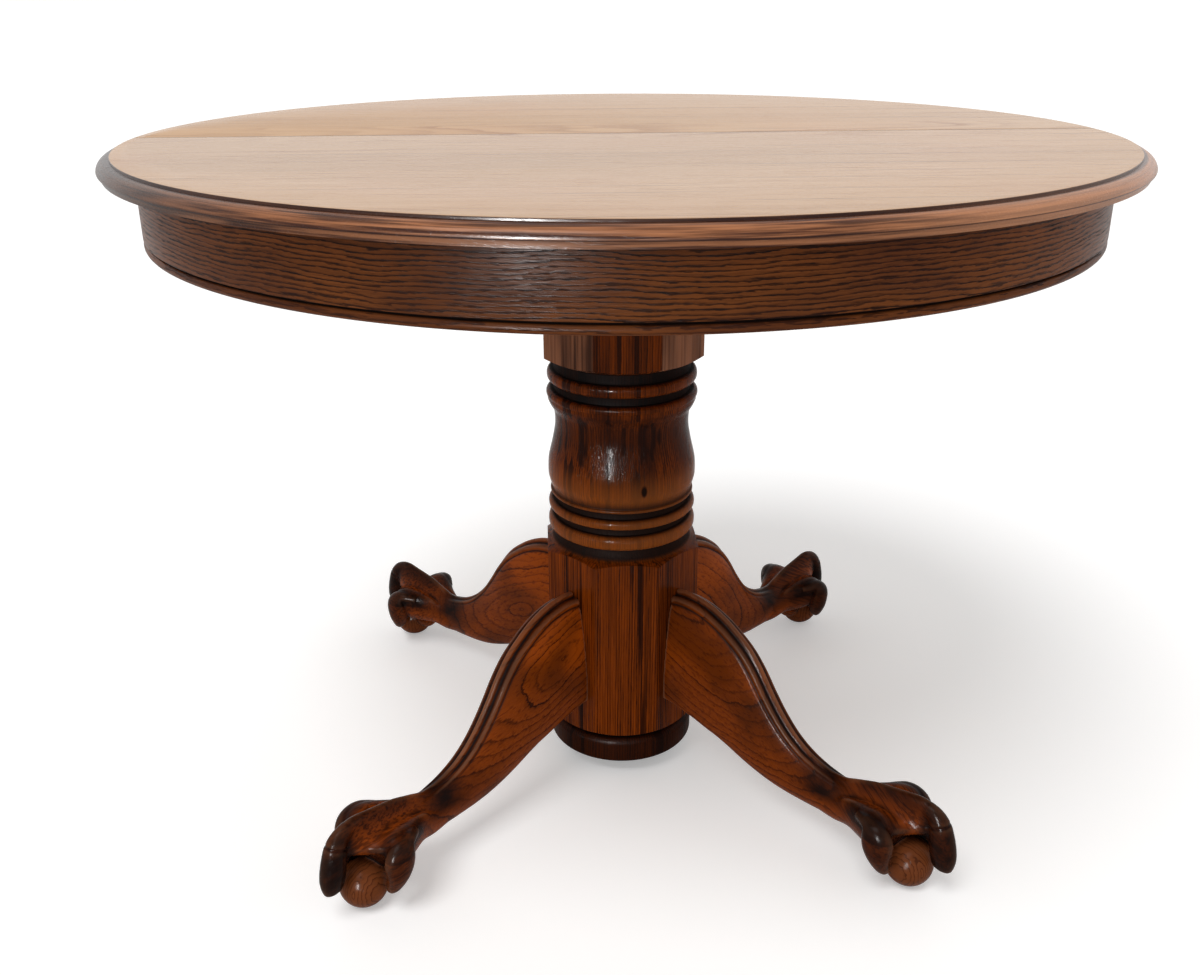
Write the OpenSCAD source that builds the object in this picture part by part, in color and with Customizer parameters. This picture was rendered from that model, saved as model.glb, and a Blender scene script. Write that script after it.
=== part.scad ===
// Round pedestal extension table in oak: two half tops on geared slides, a turned octagonal
// column and four carved claw-and-ball legs. Millimetres, +Z up, +X along the seam of the top,
// origin on the floor under the column.

/* [Top] */
// Height of the table from the floor
table_h = 765; // [740:1:800]
// Diameter over the moulded edge
top_d = 1060; // [980:10:1200]
// Thickness of the top boards
top_t = 19; // [17:0.5:26]
// Depth of the small step beside the flat of the top
edge_step = 4; // [2:0.5:6]
// Width of the rounded edge outside that step
edge_round_w = 13; // [8:1:20]
// Height of the thin band under the rounded edge
edge_band_h = 6; // [4:0.5:7]
// How far that band stands in from the widest line
edge_band_in = 4; // [2:0.5:8]
// Gap between the two half tops at the seam
seam_gap = 0.4; // [0.2:0.1:2]

/* [Apron] */
// Overhang of the top past the apron
overhang = 33; // [20:1:50]
// Height of the apron
apron_h = 69; // [66:1:90]
// Thickness of the bent apron
apron_t = 20; // [14:1:26]
// Height of the bead along the bottom of the apron
apron_bead_h = 8.5; // [6:0.5:14]
// Width of the groove above that bead
apron_groove_w = 2; // [1:0.5:4]
// Depth of that groove
apron_groove_d = 3; // [1:0.5:5]
// Corner blocks under each half of the apron
apron_blocks = 5; // [3:2:7]
// Side of a corner block
block_side = 38; // [25:1:50]
// Height of a corner block
block_h = 36; // [25:1:50]

/* [Slides] */
// Travel of each half top
travel = 305; // [150:5:320]
// Distance between the two fixed rails
rail_spacing = 300; // [260:5:380]
// Thickness of each rail
rail_w = 22; // [18:1:30]
// Height of each rail
rail_h = 39; // [34:1:44]
// Length of each rail
rail_l = 660; // [620:10:700]
// Gap between the outer end of a moving rail and the apron
rail_end_gap = 15.4; // [10:0.2:40]
// Depth of the dovetail key that joins two rails
key_d = 6; // [4:0.5:9]
// Height of that key at its root
key_h = 9; // [6:1:14]
// Flare of the key on each side
key_flare = 2.5; // [1:0.5:4]
// Running clearance round every sliding piece
slide_clear = 0.3; // [0.2:0.05:0.6]
// Gap between the fixed rails and the top
rail_top_gap = 0.8; // [0.5:0.1:2]

/* [Platform] */
// Length of the platform on the column, along the seam
platform_l = 380; // [340:5:460]
// Width of the platform, along the slides
platform_w = 290; // [240:5:340]
// Thickness of the platform
platform_t = 25; // [20:1:30]

/* [Equalizer] */
// Gear module
gear_mod = 3; // [2:0.5:4]
// Teeth on the pinion
gear_teeth = 24; // [18:2:28]
// Thickness of the pinion and racks
gear_t = 12; // [8:1:16]
// Play between meshing teeth
gear_play = 0.6; // [0.4:0.1:1]
// Thickness of a rack behind its teeth
rack_back = 14; // [8:1:20]
// Diameter of the pinion's axle
axle_d = 14; // [10:1:18]
// Radial running clearance of the pinion on its axle
axle_clear = 0.05; // [0.02:0.01:0.1]
// Thickness of the washer under the pinion
axle_washer_t = 3; // [2:0.5:5]

/* [Table locks] */
// Distance of each lock from the centre, along the seam
lock_x = 300; // [260:5:360]
// Distance of the pivot and of the keeper stud from the seam
lock_y = 32; // [26:1:40]
// Thickness of the steel
lock_t = 3; // [2:0.5:4]
// Width of the lever
lever_w = 22; // [18:1:28]
// Diameter of the pivot and of the keeper stud
stud_d = 8; // [6:1:10]
// Clearance between the lever and the stud
stud_clear = 0.6; // [0.3:0.1:1]
// Quarter turn of the lever
lock_turn = 90; // [80:1:90]

/* [Alignment pins] */
// Diameter of a seam pin
pin_d = 8; // [6:1:9]
// Length of a seam pin outside its board
pin_out = 14; // [8:1:20]
// Length of a seam pin inside its board
pin_in = 18; // [12:1:25]
// Distance between the seam pins
pin_pitch = 210; // [150:10:230]

/* [Column] */
// Width of the octagon across its flats
octagon_w = 180; // [160:1:200]
// Height of the column's foot above the floor
column_lift = 20; // [10:1:30]
// Largest radius of the turned beads
bead_r = 88; // [80:0.5:92]
// Radius at the bottom of the grooves between beads
groove_r = 79.5; // [74:0.5:84]
// Radius at the waist of the vase
waist_r = 78.3; // [70:0.1:82]
// Radius of the turned foot
foot_disc_r = 89.4; // [80:0.2:89.6]
// Height of the turned foot
foot_disc_h = 37; // [30:1:44]
// Height of the lower octagon, where the legs join
lower_block_h = 235; // [215:1:260]
// Height of the hollow neck over the lower octagon
low_neck_h = 16; // [10:1:24]
// Height of the large bead over that neck
large_bead_h = 18; // [12:1:24]
// Height of each groove between the lower beads
low_groove_h = 8; // [5:1:12]
// Height of the middle bead
mid_bead_h = 12; // [8:1:16]
// Height of the small bead under the vase
small_bead_h = 6; // [4:1:12]
// Height of the vase
vase_h = 112; // [90:1:130]
// Height of the bead on top of the vase
cap_bead_h = 11; // [8:1:16]
// Height of the groove between the two upper beads
top_groove_h = 9; // [6:1:15]
// Height of the uppermost bead
top_bead_h = 15; // [10:1:20]
// Height of the upper neck
top_neck_h = 16; // [8:1:20]
// Diameter of the hollow core
core_d = 90; // [70:2:110]

/* [Legs] */
// Distance of each ball's centre from the column's axis
leg_reach = 418; // [380:2:460]
// Thickness of a leg at the column
leg_t = 53; // [44:1:60]
// Height of a leg's top where it meets the column
leg_top = 247; // [235:1:258]
// Height of a leg's underside where it meets the column
leg_under = 106; // [98:1:120]
// Width of the ankle
ankle_w = 38; // [30:1:46]
// Height of the ankle's upper side
ankle_top = 91; // [86:1:100]
// Height of the ankle's underside
ankle_under = 40; // [36:1:46]
// Radius of the ball
ball_r = 27; // [25:0.5:30]
// Depth of the flat under each ball
ball_flat = 0.5; // [0.3:0.1:1.5]
// Height of the middle toe's knuckle
knuckle_h = 106; // [100:1:114]
// Spread of each side toe from the middle of the foot
toe_spread = 45; // [42:1:50]

/* [Fasteners] */
// Diameter of the leg bolts
leg_bolt_d = 8; // [6:1:10]
// Lower leg bolt, height from the floor
leg_bolt_low = 145; // [135:1:155]
// Distance between the two bolts of a leg
leg_bolt_pitch = 70; // [60:1:80]
// Length of each leg bolt inside the leg
leg_bolt_in = 45; // [30:1:55]
// Diameter of the column bolts
column_bolt_d = 10; // [8:1:12]
// Side of the square of column bolts
column_bolt_sq = 110; // [100:2:116]
// Depth of the column bolts in the column
column_bolt_depth = 90; // [60:5:110]
// Diameter of the wood screws
screw_d = 5; // [4:0.5:6]
// Depth of a screw in the top
screw_bite = 11; // [8:0.5:13]

/* [Hidden] */
$fn = 96;
eps = 0.01;

top_r = top_d / 2;
top_z = table_h - top_t;
apron_r = top_r - overhang;
apron_z = top_z - apron_h;
rail_x = rail_spacing / 2;
rail_pitch = rail_w + slide_clear;
// Where the outer end of a moving rail lies, from the seam
rail_reach = sqrt(pow(apron_r - apron_t, 2) - pow(rail_x + rail_pitch + rail_w / 2, 2)) - rail_end_gap;
rail_z = top_z - rail_h;
fixed_rail_top = top_z - rail_top_gap;
platform_z = rail_z - rail_top_gap - platform_t;
platform_top = platform_z + platform_t;

// ---------- outlines ----------

// Elliptic arc about c with radii a and b, from angle a0 to a1 in n steps
function arc(c, a, b, a0, a1, n) =
    [for (i = [0:n]) let (w = a0 + (a1 - a0) * i / n) c + [a * cos(w), b * sin(w)]];

// Half-round bead from z0 to z1 between radius r_in and r_out, listed upwards
function bead(z0, z1, r_in, r_out) =
    arc([r_in, (z0 + z1) / 2], r_out - r_in, (z1 - z0) / 2, -90, 90, 8);

// ---------- top and apron ----------

module half(side) {
    reach = 2 * top_r;
    intersection() {
        children();
        translate([-reach, side > 0 ? seam_gap / 2 : -reach, 0])
            cube([2 * reach, reach - seam_gap / 2 * (side > 0 ? 0 : 1), 2 * table_h]);
    }
}

function top_outline() = let (
        flat_r = top_r - edge_round_w,
        band_top = top_z + edge_band_h,
        round_h = top_t - edge_step - edge_band_h)
    concat([[0, top_z], [top_r - edge_band_in, top_z], [top_r - edge_band_in, band_top]],
        arc([flat_r, band_top], edge_round_w, round_h, 0, 90, 10),
        [[flat_r, table_h], [0, table_h]]);

module half_top(side) {
    color("peru") difference() {
        half(side) rotate_extrude($fn = 180) polygon(top_outline());
        screw_places(side, screw_d / 2);
        rack_screw_places(side, screw_d / 2);
        block_screw_places(side, screw_d / 2);
        pin_places(side > 0 ? pin_d / 2 + slide_clear : pin_d / 2, side > 0 ? slide_clear : 0);
    }
}

module pin_places(r, extra) {
    for (i = [-2:2])
        translate([i * pin_pitch, -pin_in, top_z + top_t / 2])
            rotate([-90, 0, 0]) cylinder(r = r, h = pin_in + pin_out + extra, $fn = 24);
}

module seam_pins() {
    color("burlywood") pin_places(pin_d / 2, 0);
}

function apron_outline() = let (
        r = apron_r, bead_top = apron_z + apron_bead_h,
        groove_top = bead_top + apron_groove_w, half_bead = apron_bead_h / 2)
    concat([[r - apron_t, apron_z]],
        arc([r - half_bead, apron_z + half_bead], half_bead, half_bead, -90, 90, 8),
        [[r - apron_groove_d - half_bead / 2, bead_top], [r - apron_groove_d, groove_top],
         [r, groove_top], [r, top_z], [r - apron_t, top_z]]);

module half_apron(side) {
    color("sienna") half(side) rotate_extrude($fn = 180) polygon(apron_outline());
}

// Places of the corner blocks, spread evenly round one half
function block_angles(side) =
    [for (i = [0:apron_blocks - 1]) side * 180 * (i + 0.5) / apron_blocks];

module half_blocks(side) {
    inner = apron_r - apron_t;
    color("tan") for (a = block_angles(side)) rotate([0, 0, a])
        difference() {
            intersection() {
                translate([inner - block_side, -block_side / 2, top_z - block_h])
                    cube([2 * block_side, block_side, block_h]);
                cylinder(r = inner, h = table_h, $fn = 180);
            }
            block_screw(screw_d / 2);
        }
}

module block_screw(r) {
    translate([apron_r - apron_t - block_side / 2, 0, top_z - block_h])
        cylinder(r = r, h = block_h + screw_bite, $fn = 24);
}

module block_screw_places(side, r) {
    for (a = block_angles(side)) rotate([0, 0, a]) block_screw(r);
}

module block_screws(side) {
    color("dimgray") for (a = block_angles(side)) rotate([0, 0, a]) {
        block_screw(screw_d / 2);
        translate([apron_r - apron_t - block_side / 2, 0, top_z - block_h - screw_d / 2])
            cylinder(r = screw_d, h = screw_d / 2, $fn = 24);
    }
}

// ---------- slides ----------

// Dovetail key, pointing along +X from x = 0, in the X-Z plane
module key_outline(extra) {
    polygon([[-eps, -key_h / 2 - extra], [key_d + extra, -key_h / 2 - key_flare - extra],
        [key_d + extra, key_h / 2 + key_flare + extra], [-eps, key_h / 2 + extra]]);
}

module along_y(length) {
    rotate([90, 0, 0]) linear_extrude(length, center = true) children();
}

module fixed_rail(side) {
    h = fixed_rail_top - platform_top;
    color("tan") difference() {
        translate([side * rail_x, 0, 0]) union() {
            translate([-rail_w / 2, -rail_l / 2, platform_top]) cube([rail_w, rail_l, h]);
            for (s = [-1, 1])
                translate([s * rail_w / 2, 0, rail_z + rail_h / 2])
                    rotate([0, 0, s > 0 ? 0 : 180]) along_y(rail_l) key_outline(0);
        }
        rail_bolt_places(rail_bolt_d / 2);
    }
}

// A moving rail lies beside the fixed one: outside it for the front half, inside for the back
module moving_rail(half_side, x_side) {
    beside = half_side < 0 ? 1 : -1;
    x = x_side * (rail_x + beside * rail_pitch);
    y0 = half_side < 0 ? -rail_reach : rail_reach - rail_l;
    color("burlywood") difference() {
        translate([x - rail_w / 2, y0, rail_z]) cube([rail_w, rail_l, rail_h]);
        translate([x - x_side * beside * (rail_w / 2 + slide_clear), 0, rail_z + rail_h / 2])
            rotate([0, 0, x_side * beside > 0 ? 0 : 180])
                along_y(4 * rail_l) key_outline(slide_clear);
        screw_places(half_side, screw_d / 2);
    }
}

function screw_ys() = [0.25, 0.55, 0.9] * rail_reach;

// Screws with sunk heads that hold the moving rails of one half, up through them into the top
module screw_places(half_side, r) {
    for (x_side = [-1, 1], y = screw_ys())
        translate([x_side * (rail_x + (half_side < 0 ? 1 : -1) * rail_pitch), half_side * y, rail_z]) {
            cylinder(r = r, h = rail_h + screw_bite, $fn = 24);
            cylinder(r1 = 2 * r, r2 = r, h = r, $fn = 24);
        }
}

module platform() {
    color("saddlebrown") difference() {
        translate([-platform_l / 2, -platform_w / 2, platform_z])
            cube([platform_l, platform_w, platform_t]);
        translate([0, 0, platform_z - eps])
            cylinder(d = axle_d, h = platform_t + 2 * eps, $fn = 48);
        column_bolt_places(column_bolt_d / 2);
        rail_bolt_places(rail_bolt_d / 2);
    }
}

// ---------- equalizer ----------

pitch_r = gear_mod * gear_teeth / 2;
gear_z = platform_top + axle_washer_t;
pressure = 20;
base_r = pitch_r * cos(pressure);
tip_r = pitch_r + gear_mod;
root_r = pitch_r - 1.25 * gear_mod;
rack_teeth = ceil((travel + 4 * PI * gear_mod) / (PI * gear_mod));

// Involute roll angle at radius r, and the half angle of a tooth there
function roll(r) = r <= base_r ? 0 : tan(acos(base_r / r)) * 180 / PI - acos(base_r / r);
function half_tooth(r) =
    90 / gear_teeth - gear_play / 4 / pitch_r * 180 / PI + roll(pitch_r) - roll(r);

function gear_tooth(i) = let (a = 360 * i / gear_teeth, steps = 4)
    concat(
        [[root_r, a - half_tooth(base_r)]],
        [for (k = [0:steps]) let (r = base_r + (tip_r - base_r) * k / steps) [r, a - half_tooth(r)]],
        [for (k = [steps:-1:0]) let (r = base_r + (tip_r - base_r) * k / steps) [r, a + half_tooth(r)]],
        [[root_r, a + half_tooth(base_r)]]);

module pinion() {
    color("silver") translate([0, 0, gear_z]) difference() {
        linear_extrude(gear_t) polygon([for (i = [0:gear_teeth - 1])
            for (p = gear_tooth(i)) [p[0] * cos(p[1]), p[0] * sin(p[1])]]);
        translate([0, 0, -1]) cylinder(r = axle_d / 2 + axle_clear, h = gear_t + 2, $fn = 48);
    }
}

// Rack teeth stand towards +X from the pitch line at x = 0, tooth spaces at y = 0
function rack_tooth(i) = let (
        pitch = PI * gear_mod, y = (i + 0.5) * pitch,
        half_w = pitch / 4 - gear_play / 4, lean = tan(pressure) * gear_mod)
    [[-1.25 * gear_mod, y - half_w - 1.25 * lean], [gear_mod, y - half_w + lean],
     [gear_mod, y + half_w - lean], [-1.25 * gear_mod, y + half_w + 1.25 * lean]];

module rack(side) {
    back_x = -1.25 * gear_mod - rack_back;
    end_y = (rack_teeth - 1) * PI * gear_mod;
    color("gray") rotate([0, 0, side < 0 ? 0 : 180]) translate([-pitch_r, 0, gear_z])
        difference() {
            linear_extrude(gear_t) polygon(concat([[back_x, -rail_reach]],
                [[-1.25 * gear_mod, -rail_reach]],
                [for (i = [-2:rack_teeth - 2]) for (p = rack_tooth(i)) p],
                [[-1.25 * gear_mod, end_y], [back_x, end_y]]));
            translate([pitch_r, 0, -gear_z]) rack_screws(screw_d / 2);
        }
}

rack_mid_x = -pitch_r - 1.25 * gear_mod - rack_back / 2;

// Screws with sunk heads, up through a rack and its cleats into the top, front half's places
module rack_screws(r) {
    for (y = cleat_ys()) translate([rack_mid_x, y, gear_z]) {
        cylinder(r = r, h = top_z + screw_bite - gear_z, $fn = 24);
        cylinder(r1 = 2 * r, r2 = r, h = r, $fn = 24);
    }
}

module rack_screw_places(side, r) {
    rotate([0, 0, side < 0 ? 0 : 180]) rack_screws(r);
}

cleat_l = 50;
cleat_w = rack_back + 20;
function cleat_ys() = [-rail_reach + cleat_l / 2, -tip_r - cleat_l];

module rack_cleats(side) {
    color("tan") rotate([0, 0, side < 0 ? 0 : 180]) difference() {
        for (y = cleat_ys()) translate([rack_mid_x - cleat_w / 2, y - cleat_l / 2, gear_z + gear_t])
            cube([cleat_w, cleat_l, top_z - gear_z - gear_t]);
        rack_screws(screw_d / 2);
    }
}

module pinion_axle() {
    color("lightgray") translate([0, 0, platform_z])
        cylinder(d = axle_d, h = gear_z + gear_t + 8 - platform_z, $fn = 48);
}

module pinion_washer() {
    color("silver") translate([0, 0, platform_top]) difference() {
        cylinder(d = axle_d + 14, h = axle_washer_t - slide_clear, $fn = 48);
        translate([0, 0, -1]) cylinder(d = axle_d, h = axle_washer_t + 2, $fn = 48);
    }
}

module axle_collar() {
    color("silver") translate([0, 0, gear_z + gear_t + slide_clear]) difference() {
        cylinder(d = axle_d + 12, h = 6, $fn = 48);
        translate([0, 0, -1]) cylinder(d = axle_d, h = 8, $fn = 48);
    }
}

// ---------- table locks ----------

plate_l = 60;
stud_drop = 2 * lock_t + 2 * slide_clear;
lever_reach = 2 * lock_y;

module lock_plate_shape() {
    cube([plate_l, lever_w + 8, lock_t], center = true);
}

// Plates, pivots and heads under the front half
module lock_plates() {
    color("dimgray") for (s = [-1, 1]) translate([s * lock_x, -lock_y, top_z]) {
        translate([0, 0, -lock_t / 2]) lock_plate_shape();
        translate([0, 0, -stud_drop - lock_t]) cylinder(d = stud_d, h = stud_drop + lock_t, $fn = 36);
        translate([0, 0, -stud_drop - lock_t]) cylinder(d = stud_d + 6, h = lock_t, $fn = 36);
    }
}

// A lever lies along the seam when open and turns across it to hook the keeper stud
module lock_lever(s) {
    slot_w = stud_d + 2 * stud_clear;
    color("darkgray") translate([s * lock_x, -lock_y, top_z - 2 * lock_t - slide_clear])
        difference() {
            union() {
                cylinder(d = lever_w, h = lock_t, $fn = 48);
                translate([s > 0 ? -lever_reach : 0, -lever_w / 2, 0])
                    cube([lever_reach, lever_w, lock_t]);
                translate([-s * lever_reach, 0, 0]) cylinder(d = lever_w, h = lock_t, $fn = 48);
            }
            translate([0, 0, -1]) cylinder(r = stud_d / 2 + axle_clear, h = lock_t + 2, $fn = 36);
            rotate([0, 0, s > 0 ? 180 - lock_turn : 0]) translate([0, 0, -1])
                rotate_extrude(angle = lock_turn, $fn = 144)
                    translate([lever_reach - slot_w / 2, 0]) square([slot_w, lock_t + 2]);
            translate([-s * lever_reach, 0, -1]) cylinder(d = slot_w, h = lock_t + 2, $fn = 36);
        }
}

module lock_keepers() {
    color("dimgray") for (s = [-1, 1]) translate([s * lock_x, lock_y, top_z]) {
        translate([0, 0, -lock_t / 2]) lock_plate_shape();
        translate([0, 0, -stud_drop - lock_t]) cylinder(d = stud_d, h = stud_drop + lock_t, $fn = 36);
    }
}

// ---------- column ----------

block_r = octagon_w;
disc_z = column_lift + foot_disc_h;
z_block = disc_z + lower_block_h;
z_large = z_block + low_neck_h;
z_mid = z_large + large_bead_h + low_groove_h;
z_small = z_mid + mid_bead_h + low_groove_h;
z_vase = z_small + small_bead_h;
z_cap = z_vase + vase_h;
z_top_bead = z_cap + cap_bead_h + top_groove_h;
z_neck = z_top_bead + top_bead_h;
z_shoulder = z_neck + top_neck_h;
flat_r = octagon_w / 2;
neck_r = groove_r - 1;

// Vase from the small bead to the cap bead: shares of [waist to bead radius, height]
vase_shape = [[0.5, 0], [0.65, 0.054], [0.876, 0.125], [0.938, 0.188], [0.887, 0.304], [0.66, 0.402],
    [0.412, 0.491], [0.206, 0.58], [0.031, 0.674], [0, 0.759], [0.093, 0.848], [0.309, 0.893],
    [0.598, 0.933], [0.825, 0.982]];

function vase_outline() =
    [for (q = vase_shape) [waist_r + (bead_r - waist_r) * q[0], z_vase + vase_h * q[1]]];

function column_outline() = concat(
    [[0, column_lift], [0.94 * foot_disc_r, column_lift]],
    arc([0.94 * foot_disc_r, column_lift + 0.14 * foot_disc_h], 0.06 * foot_disc_r, 0.14 * foot_disc_h,
        -75, 0, 4),
    arc([0.91 * foot_disc_r, disc_z - 0.35 * foot_disc_h], 0.09 * foot_disc_r, 0.24 * foot_disc_h, 0, 90, 5),
    [[neck_r, disc_z - 0.1 * foot_disc_h], [neck_r, disc_z],
     [flat_r, disc_z + 3], [block_r, disc_z + 3 + (block_r - flat_r) * 0.8]],
    [[block_r, z_block - (block_r - flat_r) * 0.5], [flat_r, z_block]],
    arc([flat_r, z_large], flat_r - neck_r, low_neck_h, 250, 180, 6),
    bead(z_large, z_large + large_bead_h, groove_r, bead_r),
    bead(z_mid, z_mid + mid_bead_h, groove_r, bead_r - 0.5),
    [[groove_r, z_small]],
    arc([groove_r, z_small + 0.4 * small_bead_h], bead_r - 3 - groove_r, 0.4 * small_bead_h, -80, 60, 5),
    vase_outline(),
    bead(z_cap, z_cap + cap_bead_h, groove_r, bead_r),
    bead(z_top_bead, z_neck, groove_r, bead_r - 1),
    [[neck_r, z_neck + 2], [neck_r, z_shoulder - 5], [flat_r, z_shoulder],
     [block_r, z_shoulder + (block_r - flat_r) / 2], [block_r, platform_z], [0, platform_z]]);

module octagon(h) {
    rotate([0, 0, 22.5]) cylinder(r = octagon_w / 2 / cos(22.5), h = h, $fn = 8);
}

module column() {
    color("saddlebrown") difference() {
        intersection() {
            octagon(platform_z);
            rotate_extrude() polygon(column_outline());
        }
        translate([0, 0, column_lift - 1]) cylinder(d = core_d, h = z_block - column_lift - 20, $fn = 72);
        leg_bolt_places(leg_bolt_d / 2);
        leg_dowel_places(leg_dowel_d / 2);
        column_bolt_places(column_bolt_d / 2);
    }
}

// ---------- legs ----------

// Closed solid through a list of rings, each a list of points in the same order
module skin(rings) {
    n = len(rings[0]);
    m = len(rings);
    polyhedron(
        points = [for (ring = rings) for (p = ring) p],
        faces = concat(
            [[for (j = [0:n - 1]) j]],
            [for (i = [0:m - 2]) for (j = [0:n - 1]) let (k = (j + 1) % n)
                [i * n + k, i * n + j, (i + 1) * n + j, (i + 1) * n + k]],
            [[for (j = [n - 1:-1:0]) (m - 1) * n + j]]),
        convexity = 6);
}

ball_z = ball_r - ball_flat;
ankle_u = leg_reach - ball_r * 10 / 3;
ankle_low_u = leg_reach - ball_r * 106 / 27;

// Half of a leg's section: [share of the half width, share of the height], top to bottom
knee_section = [[0, 1], [0.27, 0.985], [0.46, 0.93], [0.63, 0.82], [0.78, 0.63], [0.9, 0.41],
    [0.98, 0.2], [1, 0.07], [0.93, 0], [0.5, -0.01]];
ankle_section = [for (q = [90, 68, 48, 29, 12, -5, -23, -42, -61, -81]) [cos(q), 0.5 + 0.5 * sin(q)]];

// Ring of a leg between its upper point a and lower point b in the (u, z) plane, half width w,
// k = 0 for the knee's section to 1 for the ankle's
function leg_ring(a, b, w, k) = let (
        half = [for (j = [0:9]) knee_section[j] * (1 - k) + ankle_section[j] * k],
        whole = concat([for (q = half) [-q[0], q[1]]], [for (j = [9:-1:1]) half[j]]))
    [for (q = whole) let (p = b + (a - b) * q[1]) [p[0], w * q[0], p[1]]];

// Stations from column to ankle: shares of [upper u, upper z, lower u, lower z, half width]
leg_stations = [[0, 1, 0, 1, 1], [0.084, 1.006, 0.045, 0.977, 1], [0.189, 0.98, 0.113, 0.894, 0.97],
    [0.286, 0.92, 0.189, 0.803, 0.93], [0.37, 0.84, 0.27, 0.69, 0.87], [0.45, 0.742, 0.351, 0.59, 0.8],
    [0.521, 0.612, 0.423, 0.48, 0.73], [0.588, 0.458, 0.495, 0.36, 0.6], [0.655, 0.318, 0.577, 0.245, 0.47],
    [0.731, 0.192, 0.667, 0.145, 0.33], [0.815, 0.098, 0.766, 0.074, 0.2], [0.908, 0.036, 0.878, 0.03, 0.07],
    [1, 0, 1, 0, 0]];

function between(a, b, t) = a + (b - a) * t;

// Rings of the palm over the ball, in ball radii: [upper u, upper z, lower u, lower z, half width]
palm_stations = [[-2.593, 3.37, -3.037, 1.39, 0.741], [-1.926, 3.426, -2.222, 1.28, 0.852],
    [-1.185, 3.481, -1.481, 1.259, 1.037], [-0.556, 3.444, -0.815, 1.37, 1.222],
    [0.037, 3.259, -0.185, 1.593, 1.333], [0.519, 2.963, 0.37, 1.852, 1.259],
    [0.852, 2.63, 0.741, 2.037, 1.037], [1.037, 2.37, 1, 2.148, 0.741]];

function leg_rings() = concat(
    [for (q = leg_stations)
        leg_ring([between(flat_r, ankle_u, q[0]), between(ankle_top, leg_top, q[1])],
            [between(flat_r, ankle_low_u, q[2]), between(ankle_under, leg_under, q[3])],
            between(ankle_w, leg_t, q[4]) / 2, q[0])],
    [for (q = palm_stations)
        leg_ring([leg_reach + ball_r * q[0], ball_r * q[1]],
            [leg_reach + ball_r * q[2], ball_r * q[3]], ball_r * q[4], 1)]);

// Rings of a toe: [u in ball radii, v in spreads, z in knuckle heights, heading, dip,
// half width and half thickness in ball radii]
middle_toe = [[-2.519, 0, 0.698, 0, -14, 0.333, 0.296], [-1.63, 0, 0.783, 0, -16, 0.407, 0.389],
    [-0.815, 0, 0.84, 0, -12, 0.463, 0.444], [-0.185, 0, 0.868, 0, 2, 0.5, 0.5],
    [0.37, 0, 0.84, 0, 26, 0.519, 0.5], [0.759, 0, 0.764, 0, 46, 0.5, 0.481],
    [1.056, 0, 0.651, 0, 64, 0.444, 0.444], [1.259, 0, 0.533, 0, 74, 0.426, 0.426],
    [1.37, 0, 0.43, 0, 82, 0.4, 0.407], [1.385, 0, 0.345, 0, 91, 0.36, 0.37],
    [1.34, 0, 0.265, 0, 100, 0.3, 0.31], [1.24, 0, 0.195, 0, 110, 0.21, 0.2]];
side_toe = [[-2.667, 0.222, 0.66, 28, -10, 0.333, 0.296], [-1.852, 0.489, 0.736, 34, -14, 0.444, 0.37],
    [-1.185, 0.733, 0.783, 44, -4, 0.556, 0.426], [-0.759, 0.889, 0.778, 54, 22, 0.63, 0.444],
    [-0.537, 0.989, 0.717, 62, 48, 0.667, 0.463], [-0.444, 1.033, 0.623, 70, 70, 0.667, 0.444],
    [-0.389, 1.033, 0.509, 76, 84, 0.593, 0.407], [-0.333, 1.0, 0.415, 79, 94, 0.51, 0.37],
    [-0.27, 0.933, 0.325, 81, 102, 0.41, 0.315], [-0.21, 0.85, 0.24, 83, 110, 0.3, 0.25],
    [-0.15, 0.77, 0.165, 85, 116, 0.18, 0.16]];

module toe(rings) {
    skin([for (q = rings) let (
            c = [leg_reach + ball_r * q[0], toe_spread * q[1], knuckle_h * q[2]],
            across = [-sin(q[3]), cos(q[3]), 0],
            out = [cos(q[3]) * sin(q[4]), sin(q[3]) * sin(q[4]), cos(q[4])])
        [for (j = [0:11]) let (t = 30 * j + 15)
            c + ball_r * (q[5] * cos(t) * across + q[6] * sin(t) * out)]]);
}

module claw_leg(a) {
    color("saddlebrown") rotate([0, 0, a]) difference() {
        union() {
            skin(leg_rings());
            toe(middle_toe);
            toe(side_toe);
            mirror([0, 1, 0]) toe(side_toe);
            translate([leg_reach, 0, ball_z]) rotate([0, 0, 7]) sphere(r = ball_r, $fn = 32);
        }
        translate([leg_reach, 0, -ball_r]) cube([4 * ball_r, 4 * ball_r, 2 * ball_r], center = true);
        leg_bolt_pair(leg_bolt_d / 2);
        leg_dowel_pair(leg_dowel_d / 2);
    }
}

// ---------- fasteners ----------

leg_angles = [45, 135, 225, 315];
leg_dowel_d = 10;
leg_dowel_out = 20;

module leg_bolt_pair(r) {
    for (i = [0, 1]) translate([core_d / 2 - 18, 0, leg_bolt_low + i * leg_bolt_pitch])
        rotate([0, 90, 0]) cylinder(r = r, h = flat_r - core_d / 2 + 18 + leg_bolt_in, $fn = 32);
}

module leg_bolt_places(r) {
    for (a = leg_angles) rotate([0, 0, a]) leg_bolt_pair(r);
}

module leg_bolts() {
    color("silver") leg_bolt_places(leg_bolt_d / 2);
}

module leg_washers() {
    color("silver") for (a = leg_angles, i = [0, 1]) rotate([0, 0, a])
        translate([core_d / 2 - 5, 0, leg_bolt_low + i * leg_bolt_pitch]) rotate([0, 90, 0])
            difference() {
                cylinder(d = 2.6 * leg_bolt_d, h = 2.5, $fn = 32);
                translate([0, 0, -1]) cylinder(d = leg_bolt_d, h = 5, $fn = 32);
            }
}

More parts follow.
